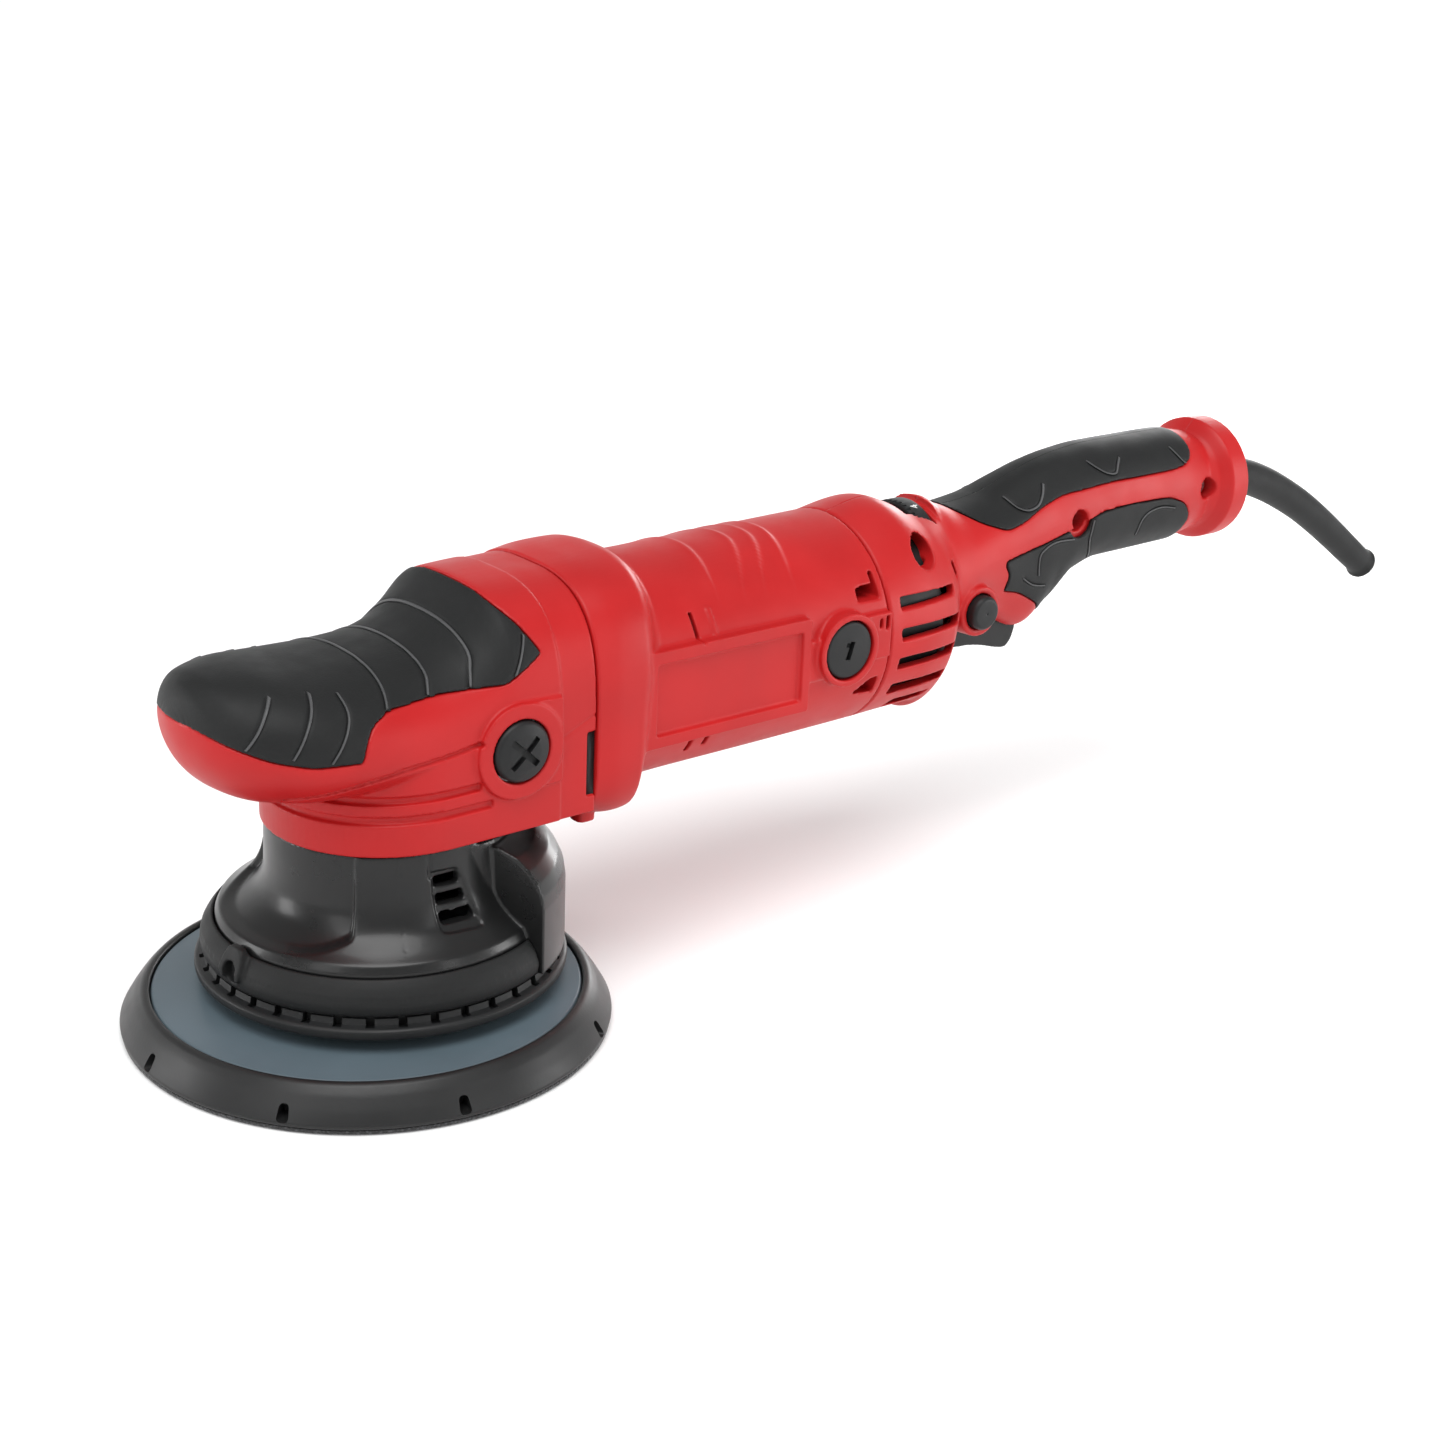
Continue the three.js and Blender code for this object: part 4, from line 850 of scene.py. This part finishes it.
def motor_shell():
    shell = skin("shell", HOUSING_STATIONS, relief=barrel_relief, step=0.7)
    plateau = rounded([(70, 80.2), (138.6, 80.2), (138.6, 112), (70, 112)], 1.0, 4)
    recess = rounded([(76.6, 84.4), (135.2, 84.4), (135.2, 107.8), (76.6, 107.8)], 0.8, 4)
    for side in (-1, 1):
        union(shell, side_prism(side, plateau, 28, PANEL_FACE))
        cut(shell, side_prism(side, recess, PANEL_FACE - 1.5, FAR))
    union(shell, *both_sides((138, 30, 90), (150, 36.9, 104)))
    union(shell, *both_sides((158, 30, 93), (BARREL_REAR, 37.1, 108.4)))
    union(shell, rod("y", 12.4, -BOSS_FACE, BOSS_FACE, BRUSH, 96))

    cut(shell, rod("x", 33.9, 50, 164, (0, MOTOR_AXIS), 96), rod("x", 11.4, 160, 172.7, (0, MOTOR_AXIS)))
    cut(shell, rod("x", 5, 160, 180, (0, MOTOR_AXIS)))
    cut(shell, rod("y", BRUSH_CAP_RADIUS + FIT, -FAR, FAR, BRUSH, 96))
    windows = [
        [(161.4, 112.2), (171.2, 112), (171.2, 120.4), (169.3, 120.4), (169.3, 116.8), (162, 116.4)],
        [(160.8, 80.4), (171, 79.4), (171, 85.6), (167.4, 85.2)],
        [(168.4, 103), (169.6, 103), (169.6, 106.8), (168.4, 106.8)],
        [(171, 102.4), (172.6, 102.4), (172.6, 107.4), (171, 107.4)],
    ]
    for outline in windows:
        for side in (-1, 1):
            cut(shell, side_prism(side, rounded(outline, 0.4, 3), 15, FAR))
    for x, low, high in ((94.8, 111.4, 119.4), (95, 73, 80.4), (101.6, 74, 80.4)):
        cut(shell, *both_sides((x - 0.7, 22, low), (x + 0.7, FAR, high)))
    for rib in both_sides((101.2, 22, 112), (102.4, FAR, 119.8)):
        union(shell, common(skin("rib", HOUSING_STATIONS, 0.5), rib))
    foot = rounded([(55, -27), (62, -27), (62, -20), (55, -20)], 3)
    union(shell, prism("z", foot, 56.6, 61))
    seam = box((BARREL_REAR - 0.5, -FAR, 40), (180, FAR, 160))
    cut(shell, cut(seam, skin("core", HOUSING_STATIONS, -0.7, rear=6)))
    soften(shell, 0.3)
    finish(shell, "motor_shell", "housing", "red_shell", "motor_housing")


def brush_caps():
    for side, name in SIDES:
        profile = [(0.01, 33.6), (9.7, 33.6), (9.7, 38), (9.1, 38.6), (0.01, 38.8)]
        cap = turned("cap", "y", [(r, t * side) for r, t in rounded(profile, 0.4, 4)], BRUSH, 96)
        for outline in (
            [(-1.9, -2.9), (0.2, -3.4), (2.1, 2.6), (0.2, 3.1)],
            [(-1.8, 1.4), (0.2, 0.9), (0.5, 2.4), (-1.4, 2.8)],
        ):
            slot = [(BRUSH[0] + a, BRUSH[1] + b) for a, b in outline]
            cut(cap, side_prism(side, slot, 37, 40))
        finish(sharpen(cap), "brush_cap_round_" + name, "housing", "black_plastic", "brush_cap_" + name)


# ------------------------------ the rear handle
UPPER_GRIP = [
    (222, 150), (227, 128.4), (235, 123.4), (246, 119.6), (255, 121.6), (264, 125.4),
    (274, 128.2), (298, 129.8), (330, 129.8), (340, 130.6), (345.6, 134.4), (346, 150),
]
LOWER_GRIP = [
    (242.6, 109.3), (263.5, 112.4), (283, 116.8), (294, 120.2), (309, 121), (330, 120.4),
    (339, 117), (344, 110.5), (343, 103), (340, 60), (276, 60), (272, 82), (264, 90),
    (253, 96), (245.2, 97.9), (244.6, 98.6), (246.4, 104),
]
SCREWS = [
    {"name": "front", "at": (196, 122.4), "bore": 5.3, "seat": 14, "end": 12},
    {"name": "middle", "at": (282, 118.2), "bore": 4.1, "seat": 11, "end": 11},
    {"name": "rear", "at": (352, 120.4), "bore": 4.1, "seat": 13.5, "end": -9.2},
]
TRIGGER = [
    (219.5, 90), (220.4, 81), (224, 77.4), (231, 75.8), (240, 75.4), (247, 74.2), (255, 71.8),
    (260, 71), (262.8, 74), (264.8, 81), (260, 88.6), (232, 93),
]


def finish_halves(whole, piece, look, node):
    """Splits a piece down the middle, and finishes its left and right halves."""
    for hand, low, high in (("left", -FAR, -SPLIT), ("right", SPLIT, FAR)):
        half = common(copy_of(whole), box((150, low, 40), (400, high, 160)))
        finish(half, f"{piece}_{hand}", "housing", look, f"{node}_{hand}")
    bpy.data.objects.remove(whole)


def handle_shells():
    shell = skin("shell", HANDLE_STATIONS, step=0.7)
    flange = [(0.01, 350), (17.5, 353.6), (19.4, 357.2), (22.2, 359.8), (TAIL_RADIUS, FLANGE_FRONT + 0.6)]
    flange += [(TAIL_RADIUS, TAIL_END - 1), (TAIL_RADIUS - 1, TAIL_END), (0.01, TAIL_END)]
    union(shell, turned("flange", "x", flange, (0, HANDLE_AXIS), 192))
    union(shell, rod("y", LOCK_RADIUS + 2.7, -25.4, -10, LOCK, 96, taper=1.12))
    cowl = skin("cowl", HANDLE_STATIONS, 2.2)
    union(shell, common(cowl, rod("x", 15, 216.5, 226, (0, 119), 96, taper=0.6)))

    hollow = skin("hollow", HANDLE_STATIONS, -WALL - 1.2, front=-5, rear=-9)
    for screw in SCREWS:
        cut(hollow, rod("y", screw["bore"] + 1.7, -40, 16, screw["at"], 48))
    cut(shell, hollow, rod("x", 32, BARREL_REAR - 5, 200, (0, MOTOR_AXIS), 96))

    vents = [(109, 179.5, 206.5), (98.6, 179.5, 210.5), (88.2, 179.5, 210), (77.8, 180, 208)]
    vents.append((69, 187, 206))
    for z, start, end in vents:
        outline = [(start, z - 2.2), (end - 0.6, z - 1.7), (end, z + 1.9), (start, z + 2.2)]
        for side in (-1, 1):
            cut(shell, side_prism(side, rounded(outline, 0.6, 4), 14, FAR))
    for outline in (UPPER_GRIP, LOWER_GRIP):
        bed = through(rounded(outline, 3))
        cut(shell, cut(bed, skin("bed", HANDLE_STATIONS, -BED_DEPTH)))
    cut(shell, box((217.6, -TRIGGER_HALF - 0.6, 60), (266, TRIGGER_HALF + 0.6, 97)))
    cut(shell, rod("x", DIAL_RADIUS + 0.6, DIAL[0] - 4.3, DIAL[0] + 4.3, (0, DIAL[1]), 128))
    cut(shell, rod("x", 14, DIAL[0] - 8, DIAL[0] + 5, (0, 140), 64, taper=0.9))
    cut(shell, rod("x", 8.2, 340, 380, (0, HANDLE_AXIS)), rod("x", 10.9, 356.7, 360.3, (0, HANDLE_AXIS)))
    for screw in SCREWS:
        cut(shell, rod("y", screw["bore"], -FAR, -screw["seat"] + 2.8, screw["at"], 48))
        cut(shell, rod("y", 2.1, -screw["seat"], screw["end"] + 0.4, screw["at"], 24))
    cut(shell, rod("y", LOCK_RADIUS + FIT, -FAR, -9, LOCK, 64))
    tab = rounded([(209.4, 116.4), (211.8, 116.6), (213.8, 111), (211.4, 110.6)], 0.6, 4)
    cut(shell, prism("y", tab, -FAR, -20))
    seam = box((170, -FAR, 40), (BARREL_REAR + 0.8, FAR, 160))
    cut(shell, cut(seam, skin("core", HANDLE_STATIONS, -0.7, front=-9)))
    soften(shell)
    finish_halves(shell, "handle_half", "red_shell", "handle_shell")
    # A thin black sleeve and two plates just inside the vents: painted shade, so that the vents look dark
    # inside.
    sleeve = [(30.2, BARREL_REAR + 1), (30.6, BARREL_REAR + 1), (30.6, 203.6), (30.2, 203.6)]
    vent_shade = turned("vent_shade", "x", sleeve, (0, MOTOR_AXIS), 128)
    union(vent_shade, box((203, 13, 68), (212.4, 13.6, 101)), box((203, -13.6, 68), (212.4, -13, 101)))
    finish(sharpen(vent_shade), "air_vent_shade", "housing", "black_plastic")


def handle_grips():
    layer = skin("layer", HANDLE_STATIONS, 0.35, step=0.7)
    upper_lines = [
        [(250.8, 129.6), (252.8, 126.7), (257, 125.3), (261.8, 126.3), (265, 129), (267.8, 132.6)],
        [(291, 137.6), (293.8, 135.3), (297.8, 133.2), (301.8, 132.7), (304.2, 135), (306.8, 137.2)],
        [(334.6, 137.4), (336.8, 134.4), (339.2, 131.9), (341.8, 131.6)],
    ]
    lower_lines = [
        [(289.6, 120.4), (288.2, 114.6), (288, 109.3), (292, 102)],
        [(333, 115.8), (325.5, 117.2), (318.8, 116.3), (315.2, 113.3), (314.6, 107.6)],
        [(279, 112), (269.5, 112.4), (263.2, 110.1), (261.5, 107.1), (262, 101)],
        [(253.6, 101.6), (259.5, 98), (266.4, 96.5)],
    ]
    for path in upper_lines + lower_lines:
        crease = through(ribbon(smooth_path(path, 4), CREASE_WIDTH))
        cut(layer, cut(crease, skin("under", HANDLE_STATIONS, -0.15, front=-4, rear=4)))
    cut(layer, skin("inner", HANDLE_STATIONS, -GRIP_DEPTH, front=-4, rear=4))
    upper = common(copy_of(layer), through(rounded(inset(UPPER_GRIP, 0.3), 2.8)))
    lower = common(layer, through(rounded(inset(LOWER_GRIP, 0.3), 2.8)))
    cut(upper, rod("x", DIAL_RADIUS + 1, DIAL[0] - 5, DIAL[0] + 5, (0, DIAL[1])))
    cut(lower, box((216, -TRIGGER_HALF - 1, 60), (267, TRIGGER_HALF + 1, 98)))
    cut(lower, rod("y", 6.1, -FAR, FAR, SCREWS[1]["at"], 48))
    for grip, kind in ((upper, "upper"), (lower, "lower")):
        soften(grip, voxel=0.45)
        finish_halves(grip, f"{kind}_grip", "grip_rubber", f"grip_{kind}")
    piping(HANDLE_STATIONS, UPPER_GRIP, upper_lines, "upper_grip_painted_highlight_ridges")
    piping(HANDLE_STATIONS, LOWER_GRIP, lower_lines, "lower_grip_painted_highlight_ridges")


def handle_screws():
    for screw in SCREWS:
        seat, end = screw["seat"], screw["end"]
        profile = [(0.01, -seat), (3.0, -seat), (3.4, -seat + 0.6), (3.4, -seat + 2.2)]
        profile += [(1.8, -seat + 2.4), (1.8, end), (0.01, end)]
        body = turned("screw", "y", profile, screw["at"], 48)
        for long, wide in ((2.0, 0.45), (0.45, 2.0)):
            low = (screw["at"][0] - long, -seat - 1, screw["at"][1] - wide)
            high = (screw["at"][0] + long, -seat + 1.4, screw["at"][1] + wide)
            cut(body, box(low, high))
        finish(sharpen(body), "screw_" + screw["name"], "housing", "steel", "handle_screw_" + screw["name"])


def trigger():
    body = prism("y", rounded(TRIGGER, 3.2, 6), -TRIGGER_HALF + 0.2, TRIGGER_HALF - 0.2)
    cut(body, rod("y", 1.9, -20, 20, (226, 88), 32))
    soften(body, 0.5, voxel=0.45, rounds=5)
    finish(body, "trigger_lever", "trigger", "black_plastic", "trigger")


def lock_button():
    profile = [(0.01, -17), (6.1, -17), (6.1, -27.6), (5.2, -28.7), (0.01, -28.8)]
    button = turned("button", "y", rounded(profile, 0.8, 5), LOCK, 96)
    finish(sharpen(button, 50), "lock_button_cap", "lock_button", "black_plastic", "lock_button")


def raised_figure(number):
    """A figure in low relief, lying flat round the origin."""
    text = bpy.data.curves.new("figure", "FONT")
    text.body = str(number)
    text.size = 4.4 * MM
    text.extrude = 0.05 * MM
    text.align_x = "CENTER"
    text.align_y = "CENTER"
    writing = into_scene("figure", text)
    graph = bpy.context.evaluated_depsgraph_get()
    mesh = bpy.data.meshes.new_from_object(writing.evaluated_get(graph))
    bpy.data.objects.remove(writing)
    return into_scene("figure", mesh)


def speed_dial():
    profile = [(0.01, -3.8), (17.2, -3.8), (17.9, -3.1), (17.9, 3.1), (17.2, 3.8), (0.01, 3.8)]
    wheel = turned("wheel", "x", [(r, DIAL[0] + t) for r, t in rounded(profile, 0.4, 3)], (0, DIAL[1]), 192)
    rib_count = 48
    for i in range(rib_count):
        rib = spun(box((DIAL[0] - 6, -0.4, 17.5), (DIAL[0] - 1.8, 0.4, 19)), 360 * i / rib_count, "X")
        cut(wheel, moved(rib, 0, 0, DIAL[1]))
    finish(sharpen(wheel), "speed_wheel", "speed_dial", "black_plastic", "speed_dial")
    for number in range(1, 7):
        figure = moved(spun(raised_figure(number), 90), DIAL[0] + 0.8, 0, DIAL_RADIUS - 0.06)
        moved(spun(figure, 45 * (number - 1) - 115, "X"), 0, 0, DIAL[1])
        finish(figure, f"dial_figure_{number}", "speed_dial", "black_plastic")
        figure.data.materials[0] = FIGURE_WHITE


GUARD_ROUTE = [
    (357, 119.4), (372, 119.2), (385, 117.6), (397.5, 114.4), (410, 109.6), (422, 103.8),
    (434, 97.2), (446, 89.6), (458, 81.4), (470, 72.9), (481, 65.2),
]


def cord_guard():
    path = np.array(smooth_path(GUARD_ROUTE, 8))
    ahead = np.gradient(path, axis=0)
    ahead /= np.linalg.norm(ahead, axis=1)[:, None]
    share = np.linspace(0, 1, len(path))
    turn = np.linspace(0, 2 * math.pi, 64, endpoint=False)

    def sleeve(radius_at, points=path, headings=ahead, shares=share):
        rings = []
        for (x, z), (ax, az), t in zip(points, headings, shares):
            r = radius_at(t)
            circle = [(r * math.cos(a), r * math.sin(a)) for a in turn]
            rings.append([(x - az * up, across, z + ax * up) for across, up in circle])
        return loft("sleeve", rings)

    body = sleeve(lambda t: 7.5 - 1.9 * t + 0.9 * smoothstep(t, 0.972, 0.982))
    union(body, rod("x", 10.2, 357, 360, (0, HANDLE_AXIS)))
    step = path[-1] - path[-2]
    long_path = np.vstack([path[0] - (6, 0), path[1:], path[-1] + step * 3])
    long_ahead = np.vstack([ahead, ahead[-1]])
    cut(body, sleeve(lambda t: 4.2, long_path, long_ahead, np.linspace(0, 1, len(long_path))))
    soften(body, 0.5, voxel=0.45, rounds=1)
    finish(body, "cord_sleeve", "housing", "grip_rubber", "cord_guard")


# ------------------------------ what stays from the CAD
def paint_cad():
    """The inner works keep their CAD shapes and get the material of their slot."""
    slots = {part["node"]: part["material_slot"] for part in frame["record"]["subparts"]}
    for name, node in frame["nodes"].items():
        node.data.materials.clear()
        node.data.materials.append(LOOKS[slots[name]])


# ------------------------------ camera, floor and light
def camera():
    """The photo's camera: its angles in radians, its place and clipping in metres."""
    elevation, azimuth, roll = 0.36404, -0.69317, 0.042027
    position = (-0.34948, -0.58135, 0.35356)
    level = math.cos(elevation)
    back = Vector((math.sin(azimuth) * level, -math.cos(azimuth) * level, math.sin(elevation)))
    right = Vector((math.cos(azimuth), math.sin(azimuth), 0))
    up = back.cross(right)
    turned_right = right * math.cos(roll) + up * math.sin(roll)
    turned_up = up * math.cos(roll) - right * math.sin(roll)
    eye = bpy.data.cameras.new("camera")
    eye.sensor_width = 36
    eye.lens = 59.8
    eye.clip_start = 0.01
    eye.clip_end = 60
    thing = into_scene("camera", eye)
    pose = Matrix((turned_right, turned_up, back)).transposed().to_4x4()
    pose.translation = Vector(position)
    thing.matrix_world = pose
    bpy.context.scene.camera = thing


def soft_box(name, at, towards, size, power):
    """A rectangular lamp. Its places and size are in metres, its power in watts."""
    lamp = bpy.data.lights.new(name, "AREA")
    lamp.shape = "RECTANGLE"
    lamp.size, lamp.size_y = size
    lamp.energy = power
    thing = into_scene(name, lamp)
    thing.location = at
    thing.rotation_euler = (Vector(towards) - Vector(at)).to_track_quat("-Z", "Y").to_euler()


def sweep():
    """A round floor that curves up into a low wall, so that no horizon shows."""
    level, wall_radius, wall_top = -0.4, 12000, 5200
    curve_up = smooth_path([(9000, level), (10600, 300), (11600, 1300), (wall_radius, 3000)])
    profile = [(0.02, level), (6000, level), *curve_up, (wall_radius, wall_top)]
    turn = np.linspace(0, 2 * math.pi, 96, endpoint=False)
    points = [(r * math.cos(a), r * math.sin(a), z) for r, z in profile for a in turn]
    centre = tuple(range(len(turn)))
    paper = mesh_object("floor", points, [centre, *side_faces(len(profile), len(turn))])
    for face in paper.data.polygons:
        face.use_smooth = True
    return paper


def studio():
    """Pale paper under an even sky, with soft boxes that draw the highlights."""
    floor = sweep()
    paper = Nodes("paper")
    inputs = {"Roughness": 0.9, "Emission Color": (1, 1, 1, 1), "Emission Strength": 0.1}
    inputs["Base Color"] = paper.colours(paper.noise(3.0), (0.85, 0.85, 0.85), (0.87, 0.87, 0.87))
    floor.data.materials.append(paper.surface(inputs))
    world = bpy.data.worlds.new("studio")
    world.use_nodes = True
    background = world.node_tree.nodes["Background"]
    background.inputs["Color"].default_value = (1.0, 1.0, 1.0, 1)
    background.inputs["Strength"].default_value = 0.42
    bpy.context.scene.world = world
    sky = bpy.data.lights.new("sky", "SUN")
    sky.energy = 2.0
    sky.angle = math.radians(40)
    overhead = into_scene("sky", sky)
    overhead.rotation_euler = Vector((0.2, 0.32, -1)).to_track_quat("-Z", "Y").to_euler()
    middle = (0.1, 0, 0.08)
    pad = (0, 0, 0.04)
    soft_box("key", (-0.8, -0.3, 0.75), middle, (0.35, 0.9), 2.2)
    soft_box("side", (0.3, -1.1, 0.5), middle, (0.25, 0.8), 1.2)
    soft_box("left", (-0.85, 0.6, 0.3), pad, (0.3, 0.5), 2.6)
    soft_box("right", (0.85, -0.6, 0.22), pad, (0.25, 0.4), 2.2)
    soft_box("back", (0.95, 0.4, 0.2), pad, (0.35, 0.5), 3.4)
    bpy.context.scene.view_settings.view_transform = "Standard"


camera()
studio()
paint_cad()
hook_layer()
rim_of_foam()
backing_disc()
skirt()
bumper()
shroud_bell()
head_cover()
saddle_grip()
head_plugs()
motor_shell()
brush_caps()
handle_shells()
handle_grips()
handle_screws()
trigger()
lock_button()
speed_dial()
cord_guard()
